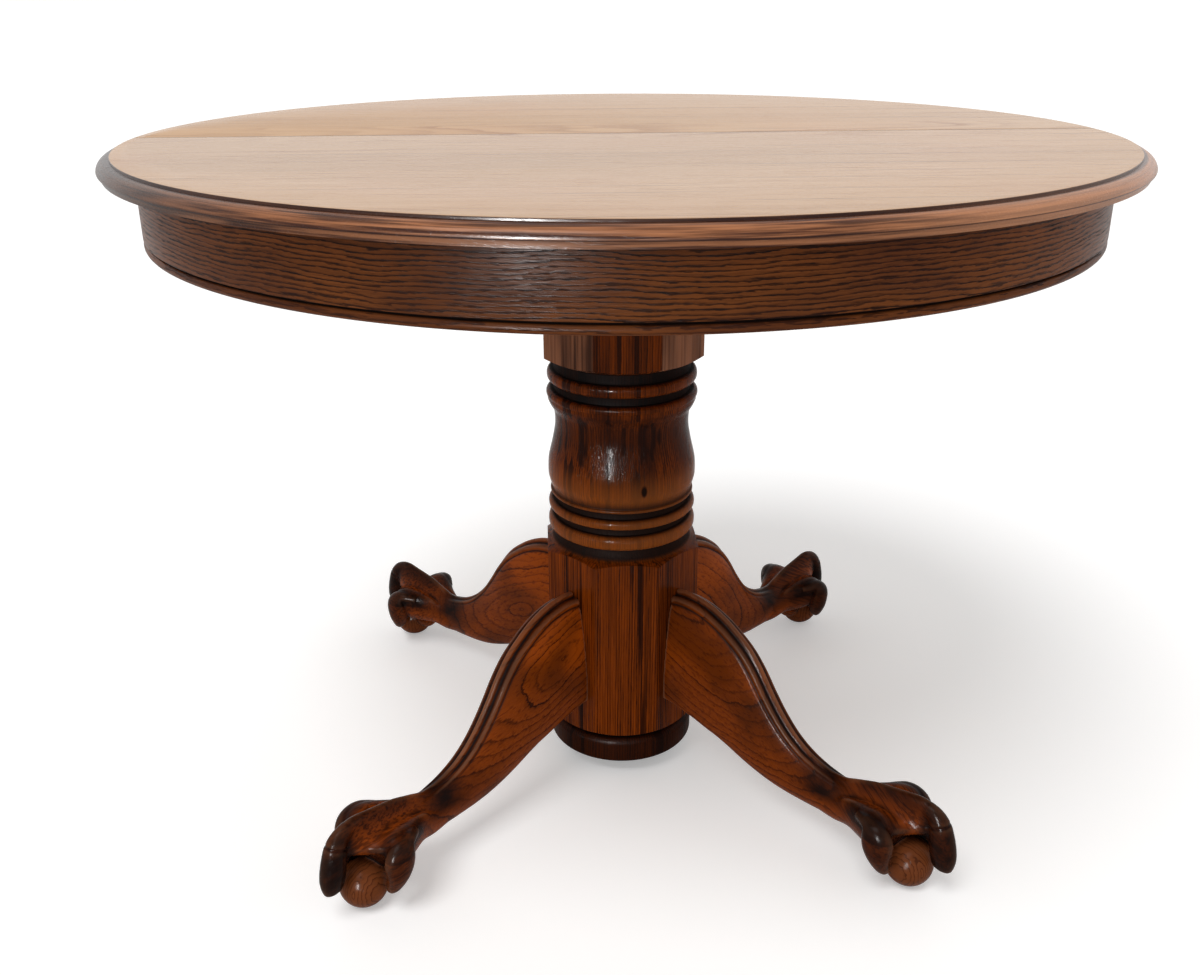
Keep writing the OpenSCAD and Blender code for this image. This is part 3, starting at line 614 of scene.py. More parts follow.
def oak_column():
    """Eight staves with upright grain: painted shade above the block, painted light on the neck's side
    staves, golden beads, grooves black with dark glaze and painted shade.
    """
    f = Finish("oak_column_lacquer")
    x, y, z = f.split(f.place())
    turn = f.plus(f.math("ARCTAN2", y, x), math.pi / 8)
    stave = f.math("FLOORED_MODULO", f.math("FLOOR", f.over(turn, math.pi / 4)), 8.0)
    centre = f.times(stave, math.pi / 4)
    cosine, sine = f.math("COSINE", centre), f.math("SINE", centre)
    luck = f.chance(f.plus(stave, 3.7))
    across = f.minus(f.times(y, cosine), f.times(x, sine))
    deep = f.plus(f.times(x, cosine), f.times(y, sine))
    grain = f.join(f.plus(z, f.times(luck, 5.0)), f.plus(across, f.times(luck, 0.25)), deep)
    colour, pores, rings = oak_on(
        f, grain, late=tone(140, 62, 9), early=tone(40, 10, 2), pore=tone(12, 3, 1), ring=0.0032,
        pith=(0.62, 0.05), sway=(1.2, 8, 0.006), pore_size=(20, 760), pore_share=(0.46, 0.56),
        pore_amount=0.95, streak=0.4, ripple=0.6, ragged=0.5, shape=FIRM_RING, steady=0.3,
    )
    colour = f.shade(colour, f.plus(0.7, f.times(f.chance(f.plus(stave, 11.1)), 0.4)))
    # Painted light on the neck's staves, all but the front one
    front_stave = 6.0
    aside = f.math("MINIMUM", f.math("ABSOLUTE", f.minus(stave, front_stave)), 1.0)
    neck = f.times(f.past(z, SHOULDER_Z - 4, SHOULDER_Z), aside)
    colour = f.stain(colour, neck, 0.8, tone(166, 112, 82))
    colour = f.stain(colour, veins(f, grain, 1.3, 75, (0.57, 0.63), 4.0), 0.85, tone(22, 6, 3))
    lines = f.times(veins(f, grain, 4.0, 260, (0.5, 0.64), 9.0), f.grains(grain, 3, 30))
    colour = f.stain(colour, lines, 0.85, tone(24, 6, 2))
    # Painted shade above the block, under the table top
    high = f.past(z, BLOCK_Z - 7, BLOCK_Z + 48)
    dusk = f.between(f.grains(grain, 5, 22), 0.42, 0.68)
    colour = f.mix(f.times(dusk, f.plus(0.25, f.times(high, 0.45))), colour, tone(36, 16, 11))
    colour = f.stain(colour, high, 0.2, tone(44, 20, 12))
    # Painted shade on the upper vase, weaker above the cap
    upper = f.times(f.past(z, VASE_Z + 30, VASE_Z + 75), 0.5)
    upper = f.minus(upper, f.times(f.past(z, CAP_Z - 6, CAP_Z), 0.4))
    colour = f.mix(upper, colour, tone(34, 17, 13))
    beads = f.times(f.past(z, VASE_Z - 70, VASE_Z - 60), f.before(z, VASE_Z + 10, VASE_Z + 50))
    colour = f.stain(colour, beads, 0.36, tone(168, 96, 44))
    knot = f.oval(x, z, place=(20, VASE_Z + 22), size=(4.2, 8.5))
    knot = f.times(f.minus(1.0, f.between(knot, 0.5, 1.1)), f.before(y, -50, -40))
    colour = f.stain(colour, knot, 0.95, tone(14, 5, 3))
    colour = f.stain(colour, f.before(z, DISC_Z - 5, DISC_Z - 1), 0.8, tone(30, 12, 7))
    hollow = f.stored("hollow")
    # Dark glaze with painted shade in the grooves and at the foot of the vase
    colour = f.stain(colour, hollow, 0.95, tone(11, 5, 4))
    return varnish(f, colour, pores, roughness=0.13, specular=0.03, bump=0.45, fibre=rings, dull=hollow)


def oak_leg(name, angle, pith, offset, tilt, seed):
    """Golden oak, glazed dark in its hollows and on the crest and foot, paler on the ridges with wear and
    a painted highlight.

    pith, offset, tilt, seed: the part of a log that the leg is cut from."""
    f = Finish(name)
    turned_back = f.turn(f.place(), (0, 0, -angle))
    along, deep, across = f.split(f.turn(turned_back, (0, -tilt, 0)))
    grain = f.join(f.plus(along, offset), across, f.plus(deep, f.times(along, 0.4)))
    colour, pores, rings = oak_on(
        f, grain, late=tone(134, 60, 14), early=tone(26, 7, 3), pore=tone(20, 5, 2), ring=0.0095,
        pith=pith, sway=(6, 11, 0.014), pore_size=(14, 900), pore_share=(0.54, 0.66),
        pore_amount=0.35, streak=0.4, ragged=0.35, shape=THIN_RING, seed=seed,
    )
    out, aside, height = f.split(turned_back)
    upper = f.times(f.past(height, 130, 200), f.minus(1.0, rings))
    colour = f.stain(colour, upper, 0.75, tone(176, 80, 13))
    paw_lines = veins(f, grain, 9, 380, (0.46, 0.62), 5.0)
    paw_wood = f.stain(tone(138, 62, 17), paw_lines, 0.75, tone(34, 12, 5))
    colour = f.stain(colour, f.past(out, 335, 365), 0.8, paw_wood)
    colour = f.stain(colour, veins(f, grain, 3.5, 330, (0.55, 0.66), 2.0), 0.4, tone(44, 12, 4))
    dusk = f.between(f.grains(grain, 6, 14), 0.45, 0.7)
    colour = f.stain(colour, dusk, 0.6, tone(50, 22, 9))
    hollow, glaze = f.stored("hollow"), f.stored("glaze")
    creases = f.between(hollow, 0.52, 0.8)
    colour = f.stain(colour, creases, 0.92, tone(14, 6, 4))
    patchy = f.plus(0.58, f.times(f.grains(grain, 14, 70, 3, 0.6), 0.7), True)
    colour = f.mix(f.times(glaze, patchy), colour, tone(25, 12, 9))
    # Ridges paler with wear and a painted highlight, less where glazed
    ridges = f.minus(1.0, f.between(hollow, 0.2, 0.42))
    wear_and_highlight = f.times(ridges, f.minus(0.6, f.times(glaze, 0.4)))
    colour = f.mix(wear_and_highlight, colour, tone(142, 98, 72))
    from_ball = f.vector("LENGTH", f.vector("SUBTRACT", turned_back, (REACH * MM, 0, BALL_Z * MM)))
    on_ball = f.before(from_ball, BALL_R + 0.8, BALL_R + 1.4)
    oval = f.oval(f.math("ABSOLUTE", aside), height, place=(13, BALL_Z + 4), size=(2.7, 9.5))
    oval = f.plus(oval, f.times(f.noise(turned_back, 160.0), 1.2))
    ball_lines = f.ramp(f.math("FRACT", oval), THIN_RING)
    ball_wood = f.stain(tone(118, 64, 34), ball_lines, 0.7, tone(40, 18, 10))
    colour = f.stain(colour, on_ball, 0.85, ball_wood)
    fibre = f.grains(grain, 7, 620, 3, 0.6)
    return varnish(f, colour, pores, roughness=0.2, specular=0.035, bump=0.6, fibre=fibre, dull=creases)


def plain_wood(name, light, dark, axis):
    """Bare wood of the hidden pieces, its grain along the named axis."""
    f = Finish(name)
    x, y, z = f.split(f.place())
    grain = f.join(*{"x": (x, y, z), "y": (y, x, z), "z": (z, x, y)}[axis])
    colour, pores, _ = oak_on(
        f, grain, late=light, early=dark, pore=dark, ring=0.009, pith=(0.21, 0.14), sway=(2, 6, 0.02),
        pore_size=(20, 1200), pore_amount=0.35, streak=0.12,
    )
    return varnish(f, colour, pores, roughness=0.6, specular=0.3, bump=0.15)


def steel(name, grey, roughness):
    f = Finish(name)
    scratches = f.noise(f.vector("MULTIPLY", f.place(), (900, 900, 120)), 1.0)
    darker = (*(0.8 * c for c in grey[:3]), 1)
    f.set(
        Base_Color=f.mix(f.between(scratches, 0.3, 0.7), grey, darker), Metallic=1.0,
        Roughness=f.plus(roughness, f.times(scratches, 0.15), True),
    )
    f.bumps(scratches, 0.1, 0.2 * MM)
    return f.material


def coat_with(piece, material):
    piece.data.materials.clear()
    piece.data.materials.append(material)


# ---------- top ----------


def half_top(name, side):
    flat_r = TOP_R - FLAT_IN
    band_r = TOP_R - BAND_IN
    round_z = TOP_Z + BAND_H
    high = TABLE_H - 0.01
    profile = eased(
        [(band_r, TOP_Z, 0), (band_r, round_z, 0.4), (TOP_R - 0.4, round_z, 0)]
        + arc(flat_r, round_z, ROUND_W, ROUND_H, 6, 88, 9)
        + [(flat_r, high - STEP_H, 0.4), (flat_r - 0.1, high, 0.8), (flat_r - 8, high, 0)]
    )
    piece = turned(name, profile, RING_STEPS)
    keep_half(piece, side)

    def at_seam(p):
        return abs(abs(p.y) - SEAM / 2) < 0.05 and p.z > TABLE_H - 0.05

    ease_edges(piece, lambda p, q: at_seam(p) and at_seam(q), 0.9)
    if side > 0:
        past_seam = 5
        for i in range(-2, 3):
            spot = (i * PIN_PITCH, (BORE_DEPTH - past_seam) / 2, TOP_Z + BORE_UP)
            cut_with(piece, rod(BORE_R, BORE_DEPTH + past_seam, spot, 24, (math.pi / 2, 0, 0)))
    outward(piece)
    soften(piece, 35)
    return piece


def half_apron(name, side):
    front, back = APRON_R, APRON_R - APRON_T
    groove_r = front - GROOVE_IN
    bead_top = APRON_Z + 2 * BEAD_R
    groove_top = bead_top + GROOVE_H
    loop = eased(
        [(back, APRON_Z + 30, 0), (back, APRON_Z, 0.8)]
        + arc(front - BEAD_R, APRON_Z + BEAD_R, BEAD_R, BEAD_R, -88, 80, 9)
        + [(groove_r - 2.1, bead_top, 0), (groove_r, bead_top + 1.4, 0.3), (groove_r, groove_top, 0),
           (front, groove_top, 0.7), (front, APRON_Z + 40, 0), (front, TOP_Z, 0), (back, TOP_Z, 0)]
    )
    piece = turned(name, loop, RING_STEPS, ring=True)
    keep_half(piece, side)
    outward(piece)
    soften(piece, 35)
    return piece


# ---------- column ----------

# Radii: beads, grooves between them, necks, foot disc, its rounded edge, bore up the middle
COLUMN_BEAD_R, GROOVE_R, NECK_R, DISC_R, DISC_EDGE, CORE_R = 88, 79.5, 78.5, 89.4, 5.4, 45
# Vase: radius and height above its foot
VASE = [
    (83.2, 0), (84.6, 6), (86.8, 14), (87.4, 21), (86.9, 34), (84.7, 45), (82.3, 55), (80.3, 65),
    (78.6, 75.5), (78.3, 85), (79.2, 95), (81.3, 100), (84.1, 104.5), (86.4, 110),
]


def bead(low, high, out, start=-90, end=90, fullness=0.8):
    """Round between two heights, out to a radius, a little fuller than a half circle."""
    points = []
    for k in range(15):
        a = math.radians(start + (end - start) * k / 14)
        lean = math.copysign(abs(math.sin(a)) ** fullness, a)
        points.append((GROOVE_R + (out - GROOVE_R) * math.cos(a) ** fullness,
                       (low + high) / 2 + (high - low) / 2 * lean, 0))
    return points


def column_profile():
    wide = 2 * FLAT_R
    block_low = DISC_Z + 3
    return eased(
        [(80, LIFT, 0), (DISC_R - DISC_EDGE, LIFT, 0)]
        + arc(DISC_R - DISC_EDGE, LIFT + 5.2, DISC_EDGE, 5.2, -75, 0, 6)
        + arc(DISC_R - 8, DISC_Z - 13, 8, 9, 0, 90, 8)
        + [(NECK_R, DISC_Z - 3.9, 0.8), (NECK_R, DISC_Z, 0.5), (FLAT_R, block_low, 0),
           (wide, block_low + 0.8 * FLAT_R, 0), (wide, BLOCK_Z - 0.5 * FLAT_R, 0), (FLAT_R, BLOCK_Z, 0.4)]
        + arc(FLAT_R, LARGE_BEAD_Z, FLAT_R - NECK_R, 16, 250, 180, 8)
        + bead(LARGE_BEAD_Z, LARGE_BEAD_Z + 18, COLUMN_BEAD_R)
        + bead(MIDDLE_BEAD_Z, MIDDLE_BEAD_Z + 12, COLUMN_BEAD_R - 0.5)
        + bead(SMALL_BEAD_Z, SMALL_BEAD_Z + 5.4, COLUMN_BEAD_R - 3, end=50)
        + [(r, VASE_Z + z, 0) for r, z in flowing(VASE, 3)]
        + bead(CAP_Z, CAP_Z + 11, COLUMN_BEAD_R, start=-42)
        + bead(TOP_BEAD_Z, NECK_Z, COLUMN_BEAD_R - 1)
        + [(NECK_R, NECK_Z + 2, 0.5), (NECK_R, SHOULDER_Z - 5, 0.8), (FLAT_R, SHOULDER_Z, 0.4),
           (wide, SHOULDER_Z + FLAT_R / 2, 0), (wide, COLUMN_TOP + 5, 0)]
    )


def column(name):
    """Turned column with eight flats at its block and neck, hollow from below."""
    piece = turned(name, column_profile(), 192)
    middle = (0, 0, (COLUMN_TOP + LIFT - 10) / 2)
    corner_r = FLAT_R / math.cos(math.pi / 8)
    prism = rod(corner_r, COLUMN_TOP - LIFT + 10, middle, 8, (0, 0, math.pi / 8))
    bpy.ops.object.transform_apply(location=True, rotation=True, scale=True)
    cut_with(piece, prism, "INTERSECT")
    core = rod(CORE_R, BLOCK_Z - LIFT - 20, (0, 0, (LIFT + BLOCK_Z - 20) / 2 - 0.5), 64)
    cut_with(piece, core)
    outward(piece)
    apply_modifier(piece, "BEVEL", width=0.9 * MM, segments=2, limit_method="ANGLE",
                   angle_limit=math.radians(28), use_clamp_overlap=True)
    outward(piece)
    soften(piece, 30)
    note_grooves(piece)
    return piece


def note_grooves(piece):
    """Stores where dark glaze and painted shade lie on the column: in the grooves, at the foot of the
    vase and on the foot disc.
    """
    x, y, z = spots(piece).T
    r = np.hypot(x, y)
    grooved = ((z > BLOCK_Z - 1) & (z < VASE_Z - 1)) | ((z > CAP_Z + 1) & (z < SHOULDER_Z - 1))
    hollow = np.where(grooved, rising(r, 85.5, 82.5), 0)
    hollow = np.where((z > DISC_Z - 5) & (z < DISC_Z + 2), rising(r, 86, 82), hollow)
    hollow = np.where(z < DISC_Z - 5, 0.3, hollow)
    foot_of_vase = (z > VASE_Z - 1) & (z < VASE_Z + 10)
    hollow = np.where(foot_of_vase, 0.85 * rising(z, VASE_Z + 9, VASE_Z), hollow)
    note(piece, "hollow", hollow)


# ---------- legs ----------
# A leg lies in the plane of u, the distance from the column's axis, and z; v is across it.

# Half sections of the leg at the column and at the ankle, width and height in shares
KNEE = [
    (0, 1), (0.27, 0.985), (0.46, 0.93), (0.63, 0.82), (0.78, 0.63), (0.9, 0.41), (0.98, 0.2),
    (1, 0.07), (0.93, 0), (0.5, -0.01),
]
ANKLE = [(math.cos(math.radians(q)), 0.5 + 0.5 * math.sin(math.radians(q)))
         for q in (90, 68, 48, 29, 12, -5, -23, -42, -61, -81)]
# Side view from column to ankle: upper edge (u, z), lower edge (u, z) and thickness, in shares
STATIONS = [
    (0, 1, 0, 1, 1), (0.084, 1.006, 0.045, 0.977, 1), (0.189, 0.98, 0.113, 0.894, 0.97),
    (0.286, 0.92, 0.189, 0.803, 0.93), (0.37, 0.84, 0.27, 0.69, 0.87),
    (0.45, 0.742, 0.351, 0.59, 0.8), (0.521, 0.612, 0.423, 0.48, 0.73),
    (0.588, 0.458, 0.495, 0.36, 0.6), (0.655, 0.318, 0.577, 0.245, 0.47),
    (0.731, 0.192, 0.667, 0.145, 0.33), (0.815, 0.098, 0.766, 0.074, 0.2),
    (0.908, 0.036, 0.878, 0.03, 0.07), (1, 0, 1, 0, 0),
]
# The same over the palm, in ball radii from the point under the ball
PALM = [
    (-2.593, 3.35, -3.037, 1.5, 0.72), (-1.926, 3.3, -2.222, 1.6, 0.75),
    (-1.185, 3.2, -1.481, 1.75, 0.75), (-0.556, 3.1, -0.815, 1.95, 0.7),
    (-0.1, 2.9, -0.3, 2.1, 0.5),
]
# Half sections (v, z) of the palm, top to underside, at distances u
PAW = [
    (300, (0, 97), (4, 95), (8, 90), (11, 84), (14, 76), (16, 68), (17, 60), (15, 52), (9, 45), (0, 43)),
    (328, (0, 94), (4.5, 92), (8, 87), (12, 81), (16.5, 77), (20, 71), (21, 62), (19, 52), (12, 43),
     (0, 41)),
    (350, (0, 100.5), (4, 98), (8, 91), (13, 84), (20, 85), (25, 80), (27, 69), (24, 56), (15, 46),
     (0, 43)),
    (370, (0, 107), (4, 104), (8, 95.5), (14.5, 89.5), (25, 90.5), (33, 88), (37, 77), (34, 59), (22, 45),
     (0, 40)),
    (388, (0, 110), (4.5, 106.5), (8.8, 97), (15.5, 90.5), (28, 94), (38, 92), (45, 81), (43, 61),
     (28, 45), (0, 36)),
    (402, (0, 112), (5, 108), (9.5, 98), (16, 89.5), (28, 91), (39, 89.5), (47, 80), (42, 65), (26, 51),
     (0, 38)),
    (412, (0, 113.5), (5.5, 109), (9.5, 98), (15, 88), (23, 85), (30, 83), (33, 79), (28, 72), (17, 66),
     (0, 56)),
    (422, (0, 114.5), (6, 110), (9, 99), (12, 90), (15, 84), (18, 80), (17, 75.5), (14, 71.5), (9, 68.5),
     (0, 65)),
    (432, (0, 113.5), (6, 109), (8.3, 99), (9.8, 91), (10.8, 86), (12, 82), (11, 78), (9.5, 75), (6, 72),
     (0, 69)),
    (440, (0, 109), (5, 106), (7, 97), (8, 91), (8, 87), (8, 84), (7.5, 81), (6, 78), (4, 75), (0, 73)),
]
# Talons: place (u, v, z), heading, dip, half width, half thickness
MIDDLE_TALON = [
    (418, 0, 103, 0, 0, 6, 7), (430, 0, 102.5, 0, 10, 8, 10), (441, 0, 97.5, 0, 34, 9.5, 11.5),
    (448, 0, 88, 0, 58, 11.5, 13), (451.5, 0, 77, 0, 72, 12, 14), (454, 0, 65, 0, 82, 12, 15),
    (455.5, 0, 55, 0, 88, 11.5, 15), (456, 0, 48, 0, 92, 10.5, 14), (456, 0, 42, 0, 95, 9, 12.5),
    (456, 0, 38.5, 0, 98, 7, 10.5), (456, 0, 36.5, 0, 99, 4, 7),
]
SIDE_TALON = [
    (372, 30, 82, 36, -8, 8, 7), (386, 37, 84, 44, 6, 11, 8.5), (395, 41, 82, 58, 30, 13.5, 9.5),
    (399.5, 43.5, 75.5, 74, 56, 16.5, 11.5), (400.5, 43.5, 66.5, 86, 76, 18, 12.5),
    (400.5, 42.5, 57, 92, 88, 17, 12.5), (401.5, 41, 48, 98, 96, 14.5, 11.5),
    (403.5, 38.5, 40, 102, 104, 11.5, 10), (406, 36, 33, 104, 110, 8.5, 8),
    (408.5, 34, 28, 104, 114, 4.5, 5),
]
# Webs that hold the ball round its back and its far side: radius, height and the arc's last angle
BALL_WEBS = [(29, 48, 146), (26.5, 57, 186), (22, 66, 200)]
WEB_START, WEB_STEP, WEB_R = 324, 9, 7.5
# Lip, cove, ridge and groove of the crest: distance below the edge, half width, height
CREST = [(0.5, 2.2, 0.7), (7, 3.2, -3.1), (14.5, 3, 1.5), (20, 1.5, -1.1)]
# Its glaze: distance, half width, strength
CREST_GLAZE = [(7.5, 4.2, 0.98), (14, 4, 0.5), (20, 1.8, 0.7)]


def blade_line():
    """Upper point, lower point, half width and share of the way to the ankle, station by station."""
    rows = []
    for upper_u, upper_z, lower_u, lower_z, thick in flowing(STATIONS, 4):
        upper = (blend(FLAT_R, ANKLE_U, upper_u), blend(ANKLE_TOP, LEG_TOP, upper_z))
        lower = (blend(FLAT_R, ANKLE_LOW_U, lower_u), blend(ANKLE_UNDER, LEG_UNDER, lower_z))
        rows.append((upper, lower, blend(ANKLE_T, LEG_T, thick) / 2, min(max(upper_u, 0), 1)))
    for upper_u, upper_z, lower_u, lower_z, thick in flowing(PALM, 3):
        upper = (REACH + BALL_R * upper_u, BALL_R * upper_z)
        lower = (REACH + BALL_R * lower_u, BALL_R * lower_z)
        rows.append((upper, lower, BALL_R * thick, 1.0))
    return rows


def blade_ring(upper, lower, half_width, share):
    half = [blend(np.array(k), np.array(a), share) for k, a in zip(KNEE, ANKLE)]
    half = flowing([(-half[1][0], half[1][1])] + half, 3)[3:]
    section = [(-w, h) for w, h in half] + [(w, h) for w, h in half[:0:-1]]
    ring = []
    for w, h in section:
        u, z = blend(np.array(lower), np.array(upper), h)
        ring.append((u, half_width * w, z))
    return ring


def paw():
    rings = []
    for row in flowing([[u] + [c for point in section for c in point] for u, *section in PAW], 4):
        half = flowing(row[1:].reshape(-1, 2), 3)
        section = [(-v, z) for v, z in half] + [(v, z) for v, z in half[-2:0:-1]]
        rings.append([(row[0], v, z) for v, z in section])
    return drawn("paw", rings)


def talon(name, rows, mirror=1):
    rings = []
    for u, v, z, heading, dip, wide, thick in flowing(rows, 3):
        heading, dip = math.radians(heading), math.radians(dip)
        across = np.array((-math.sin(heading), math.cos(heading), 0))
        ahead = np.array((math.cos(heading), math.sin(heading), 0))
        rise = ahead * math.sin(dip) + (0, 0, math.cos(dip))
        ring = []
        for j in range(20):
            t = math.radians(18 * j + 9)
            q = (u, v, z) + wide * math.cos(t) * across + thick * math.sin(t) * rise
            ring.append((q[0], mirror * q[1], q[2]))
        rings.append(ring)
    return drawn(name, rings)


def ball_web(radius, height, last):
    rows = []
    for q in range(WEB_START, last - 7, -WEB_STEP):
        u = REACH + radius * math.cos(math.radians(q))
        v = radius * math.sin(math.radians(q))
        end = q == WEB_START or q <= last
        rows.append((u, v, height, q - 90, 0, 3 if end else WEB_R, 2.5 if end else WEB_R))
    return talon("ball_web", rows)


def ball(name, radius, place):
    clear_selection()
    bpy.ops.mesh.primitive_uv_sphere_add(
        segments=96, ring_count=48, radius=radius * MM, location=[c * MM for c in place]
    )
    return settle(bpy.context.object, name)


def distance_to(co, line):
    """Distance of points in the (u, z) plane from a broken line."""
    line = np.array(line)
    best = np.full(len(co), 1e9)
    for a, b in zip(line[:-1], line[1:]):
        d = b - a
        t = np.clip(((co - a) @ d) / (d @ d), 0, 1)
        best = np.minimum(best, np.hypot(*(co - a - t[:, None] * d).T))
    return best


def carve_crest(leg, crest):
    """Moulds the upper edge down to the ankle and returns the glaze that it holds."""
    co = spots(leg)
    size = np.interp(co[:, 0], [90, 200, 330], [1.0, 0.88, 0.6])
    below = (0.67 * distance_to(co[:, [0, 2]], crest) + 0.77 * np.abs(co[:, 1])) / size
    fade = rising(co[:, 0], 345, 285)
    moulding = sum(high * bump_at(below, at, wide) for at, wide, high in CREST)
    place_spots(leg, co + normals(leg) * (moulding * fade * size)[:, None])
    return fade * sum(strength * bump_at(below, at, wide) for at, wide, strength in CREST_GLAZE)


def carve_nail_beds(leg):
    """Cuts a fine line round the root of the middle nail and levels the sole."""
    co = spots(leg)
    bed = bump_at(co[:, 2] - 0.35 * (co[:, 0] - 455), 93, 1.3) * (co[:, 0] > 436)
    co -= normals(leg) * (0.9 * bed)[:, None]
    co[:, 2] = np.maximum(co[:, 2], 0.0)
    place_spots(leg, co)


def note_glaze(leg, crest_glaze):
    """Stores the dark glaze of the crest, the ankle, the toes and the talons, less in the webs."""
    co = spots(leg)
    u, v, z = co.T
    out = np.abs(v)
    ankle = bump_at(u, 312, 34) * rising(z, 58, 74)
    stations = [328, 350, 370, 388, 402, 412, 422]
    valley = np.interp(u, stations, [12, 13, 16, 18, 17.5, 17, 13])
    span = np.interp(u, stations, [5, 6.5, 9, 11, 10.5, 9, 5])
    web = bump_at(out, valley, span) * rising(z, 66, 72) * rising(u, 436, 428)
    web = np.maximum(web, rising(z, 72, 62) * rising(u, 392, 372))
    foot = rising(u, 335, 360) * (1 - web)
    foot = np.where((out > 28) & (z < 72), 0.75 * foot, foot)
    on_ball = np.linalg.norm(co - (REACH, 0, BALL_Z), axis=1) < BALL_R + 1.2
    foot = np.where(on_ball, 0.3, foot)
    note(leg, "glaze", np.clip(np.maximum(np.maximum(crest_glaze, ankle), foot), 0, 1))


def carved_leg():
    """One leg along +u; its parts are grown into one skin, smoothed and carved."""
    line = blade_line()
    parts = [
        drawn("blade", [blade_ring(*row) for row in line]),
        paw(),
        talon("middle_talon", MIDDLE_TALON),
        talon("near_talon", SIDE_TALON),
        talon("far_talon", SIDE_TALON, -1),
        *(ball_web(*web) for web in BALL_WEBS),
        ball("ball", BALL_R, (REACH, 0, BALL_Z)),
        # Fillers inside the foot, behind the ball and over it
        ball("core", 17, (REACH - 30, 0, 38)),
        ball("inner_web", 6, (REACH + 22, 0, 71)),
    ]
    leg = joined(parts, "leg")
    apply_modifier(leg, "REMESH", mode="VOXEL", voxel_size=1.27 * MM, use_smooth_shade=True)
    apply_modifier(leg, "SMOOTH", factor=0.5, iterations=6)
    crest_glaze = carve_crest(leg, [row[0] for row in line])
    carve_nail_beds(leg)
    note_hollows(leg)
    note_glaze(leg, crest_glaze)
    take(leg)
    bpy.ops.object.shade_smooth()
    return leg


def turned_copy(piece, name, angle, mirrored):
    """Copy of a leg at its angle, mirrored across its own plane for the right-hand side."""
    copy = hang(name, piece.data.copy())
    if mirrored:
        copy.data.transform(Matrix.Scale(-1, 4, (0, 1, 0)))
        copy.data.flip_normals()
    copy.data.transform(Matrix.Rotation(angle, 4, "Z"))
    copy.data.name = name
    return copy


# ---------- making ----------

top_finish, apron_finish = oak_top(), oak_apron()
for half, side in (("front", -1), ("back", 1)):
    top = half_top(f"table_top_{half}", side)
    coat_with(top, top_finish)
    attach(top, f"{half}_half")
    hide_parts(f"top_{half}")
    apron = half_apron(f"bent_apron_{half}", side)
    coat_with(apron, apron_finish)
    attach(apron, f"{half}_half")
    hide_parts(f"apron_{half}")

post = column("turned_column")
coat_with(post, oak_column())
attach(post, "pedestal")
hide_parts("column")

leg = carved_leg()
for name, degrees, pith, offset, tilt, seed in (
    ("front_left", 225, (0.215, 0.037), 0.13, 0.42, 3.0),
    ("front_right", 315, (0.268, -0.02), 1.37, 0.4, 17.0),
    ("back_left", 135, (0.2, 0.05), 2.11, 0.5, 31.0),
    ("back_right", 45, (0.17, -0.03), 3.71, 0.5, 57.0),
):
    angle = math.radians(degrees)
    piece = turned_copy(leg, f"carved_leg_{name}", angle, name.endswith("right"))
    coat_with(piece, oak_leg(f"oak_leg_{name}", angle, pith, offset, tilt, seed))
    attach(piece, "pedestal")
    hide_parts(f"leg_{name}")
bpy.data.objects.remove(leg)

# The other pieces keep their shape and get plain wood or steel
pale = (tone(206, 170, 122), tone(176, 134, 86))
mellow = (tone(172, 124, 78), tone(140, 94, 56))
worked = {
    plain_wood("slide_wood", *pale, "y"): (
        "front_rail_left", "front_rail_right", "back_rail_left", "back_rail_right", "fixed_rail_left",
        "fixed_rail_right", "seam_pins", "rack_cleats_front", "rack_cleats_back",
    ),
    plain_wood("platform_wood", *mellow, "x"): ("platform", "leg_dowels"),
    plain_wood("block_wood", *pale, "z"): ("apron_blocks_front", "apron_blocks_back"),
    steel("zinc_steel", (0.62, 0.63, 0.62, 1), 0.32): (
        "pinion", "pinion_axle", "pinion_washer", "axle_collar", "leg_bolts", "leg_washers",
        "leg_nuts", "column_bolts", "rail_bolts",
    ),
    steel("dark_steel", (0.16, 0.16, 0.165, 1), 0.38): (
        "rack_front", "rack_back", "lock_plates", "lock_lever_left", "lock_lever_right",
        "lock_keepers", "top_screws_front", "top_screws_back", "block_screws_front",
        "block_screws_back",
    ),
}
for material, names in worked.items():
    for name in names:
        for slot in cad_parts[name].material_slots:
            slot.material = material

# ---------- room ----------

# Camera: place in m, lens in mm, and its turns in degrees
EYE = (-0.0913, -1.3356, 0.9102)
LENS = 36.1104
YAW, PITCH, ROLL = -2.802, 22.598, -0.263


def hang_light(name, light, place, target):
    holder = hang(name, light, place)
    holder.rotation_euler = (Vector(target) - Vector(place)).to_track_quat("-Z", "Y").to_euler()
    return holder


def floor():
    """White floor, a little brighter to the eye than its paint."""
    clear_selection()
    bpy.ops.mesh.primitive_plane_add(size=400, location=(0, 0, -0.2 * MM))
    plane = settle(bpy.context.object, "floor")
    material = bpy.data.materials.new("floor_paint")
    material.use_nodes = True
    f = Nodes(material.node_tree)
    paint = f.add("ShaderNodeBsdfDiffuse", {"Color": (0.86, 0.86, 0.86, 1)})
    seen = f.add("ShaderNodeLightPath").outputs["Is Camera Ray"]
    glow = f.add("ShaderNodeEmission", {"Color": (1, 1, 1, 1), "Strength": f.times(seen, 0.3)})
    both = f.add("ShaderNodeAddShader", {0: paint.outputs[0], 1: glow.outputs[0]})
    f.add("ShaderNodeOutputMaterial", {0: both.outputs[0]})
    coat_with(plane, material)


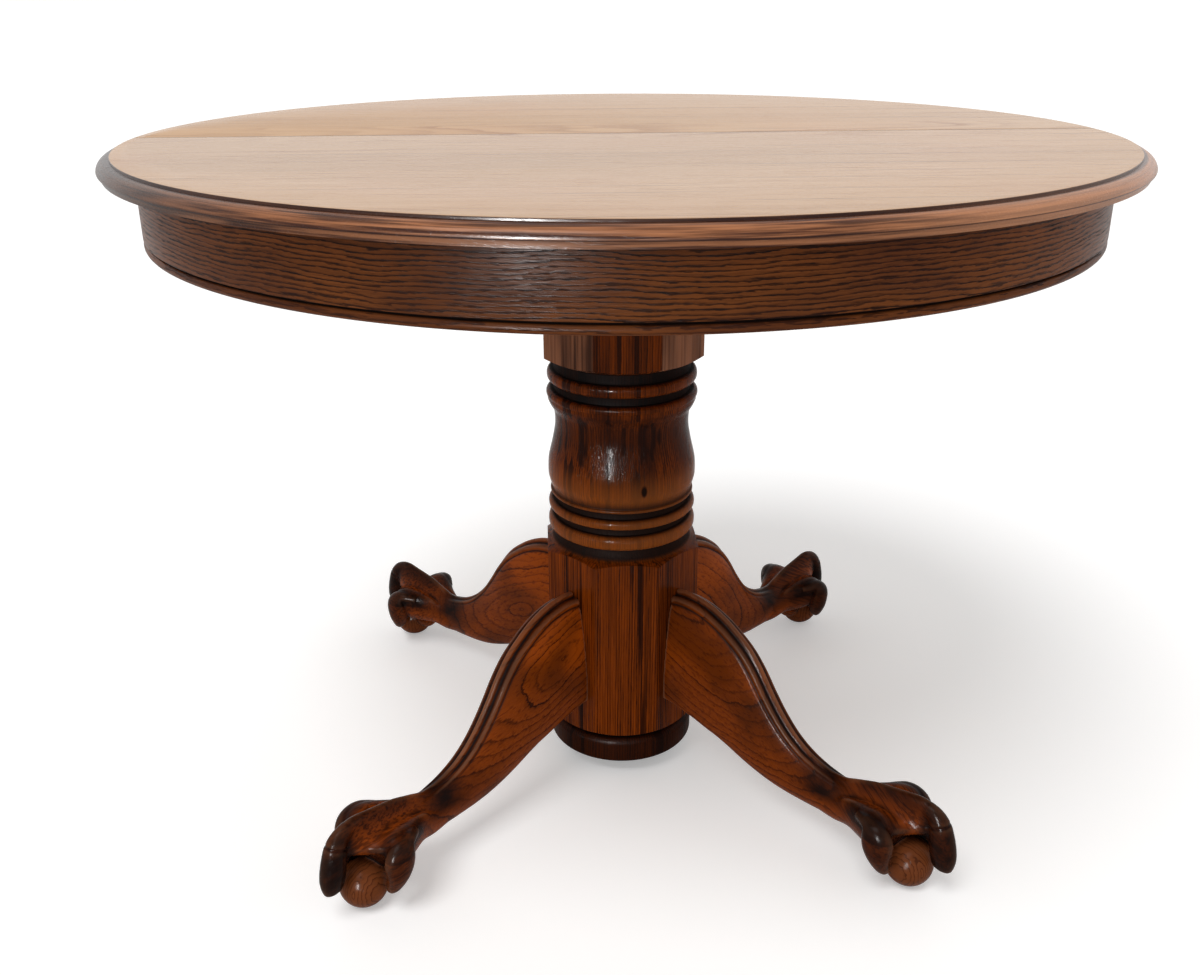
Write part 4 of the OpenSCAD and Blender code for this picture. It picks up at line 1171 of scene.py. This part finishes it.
def sky():
    """White surroundings for the eye and for reflections, dimmer as a light."""
    world = bpy.data.worlds.new("studio")
    scene.world = world
    world.use_nodes = True
    f = Nodes(world.node_tree)
    rays = f.add("ShaderNodeLightPath").outputs
    seen = f.math("MAXIMUM", rays["Is Camera Ray"], rays["Is Glossy Ray"])
    seen = f.math("MAXIMUM", seen, rays["Is Transmission Ray"])
    room = f.add("ShaderNodeBackground", {"Color": (1.0, 0.99, 0.98, 1), "Strength": 0.55})
    white = f.add("ShaderNodeBackground", {"Color": (1, 1, 1, 1), "Strength": 1.0})
    either = f.add("ShaderNodeMixShader", {0: seen, 1: room.outputs[0], 2: white.outputs[0]})
    f.add("ShaderNodeOutputWorld", {0: either.outputs[0]})


def skylight(place, strength, spread):
    light = bpy.data.lights.new("skylight", "SUN")
    light.energy = strength
    light.angle = math.radians(spread)
    hang_light("skylight", light, place, (0, 0, 0))


def window(place, target, wide, high, power):
    """Tall lamp that only shows in reflections."""
    light = bpy.data.lights.new("tall_window", "AREA")
    light.shape = "RECTANGLE"
    light.size = wide
    light.size_y = high
    light.energy = power
    hang_light("tall_window", light, place, target).visible_diffuse = False


def camera():
    eye = bpy.data.cameras.new("camera")
    eye.sensor_fit = "HORIZONTAL"
    eye.sensor_width = 36.0
    eye.lens = LENS
    eye.clip_start = 0.01
    eye.clip_end = 100
    yaw, pitch, roll = math.radians(YAW), math.radians(PITCH), math.radians(ROLL)
    level = Vector((-math.sin(yaw), math.cos(yaw), 0))
    ahead = level * math.cos(pitch) - Vector((0, 0, math.sin(pitch)))
    side = Vector((math.cos(yaw), math.sin(yaw), 0))
    up = side.cross(ahead)
    right = side * math.cos(roll) + up * math.sin(roll)
    up = up * math.cos(roll) - side * math.sin(roll)
    turn = Matrix((right, up, -ahead)).transposed().to_4x4()
    holder = hang("camera", eye, EYE)
    holder.matrix_world = Matrix.Translation(holder.location) @ turn
    scene.camera = holder


floor()
sky()
skylight(place=(-1.0, -1.3, 3.0), strength=1.5, spread=30)
window(place=(-1.4, -3.5, 0.95), target=(0, 0, 0.42), wide=0.13, high=1.4, power=400)
camera()
scene.view_settings.view_transform = "Standard"
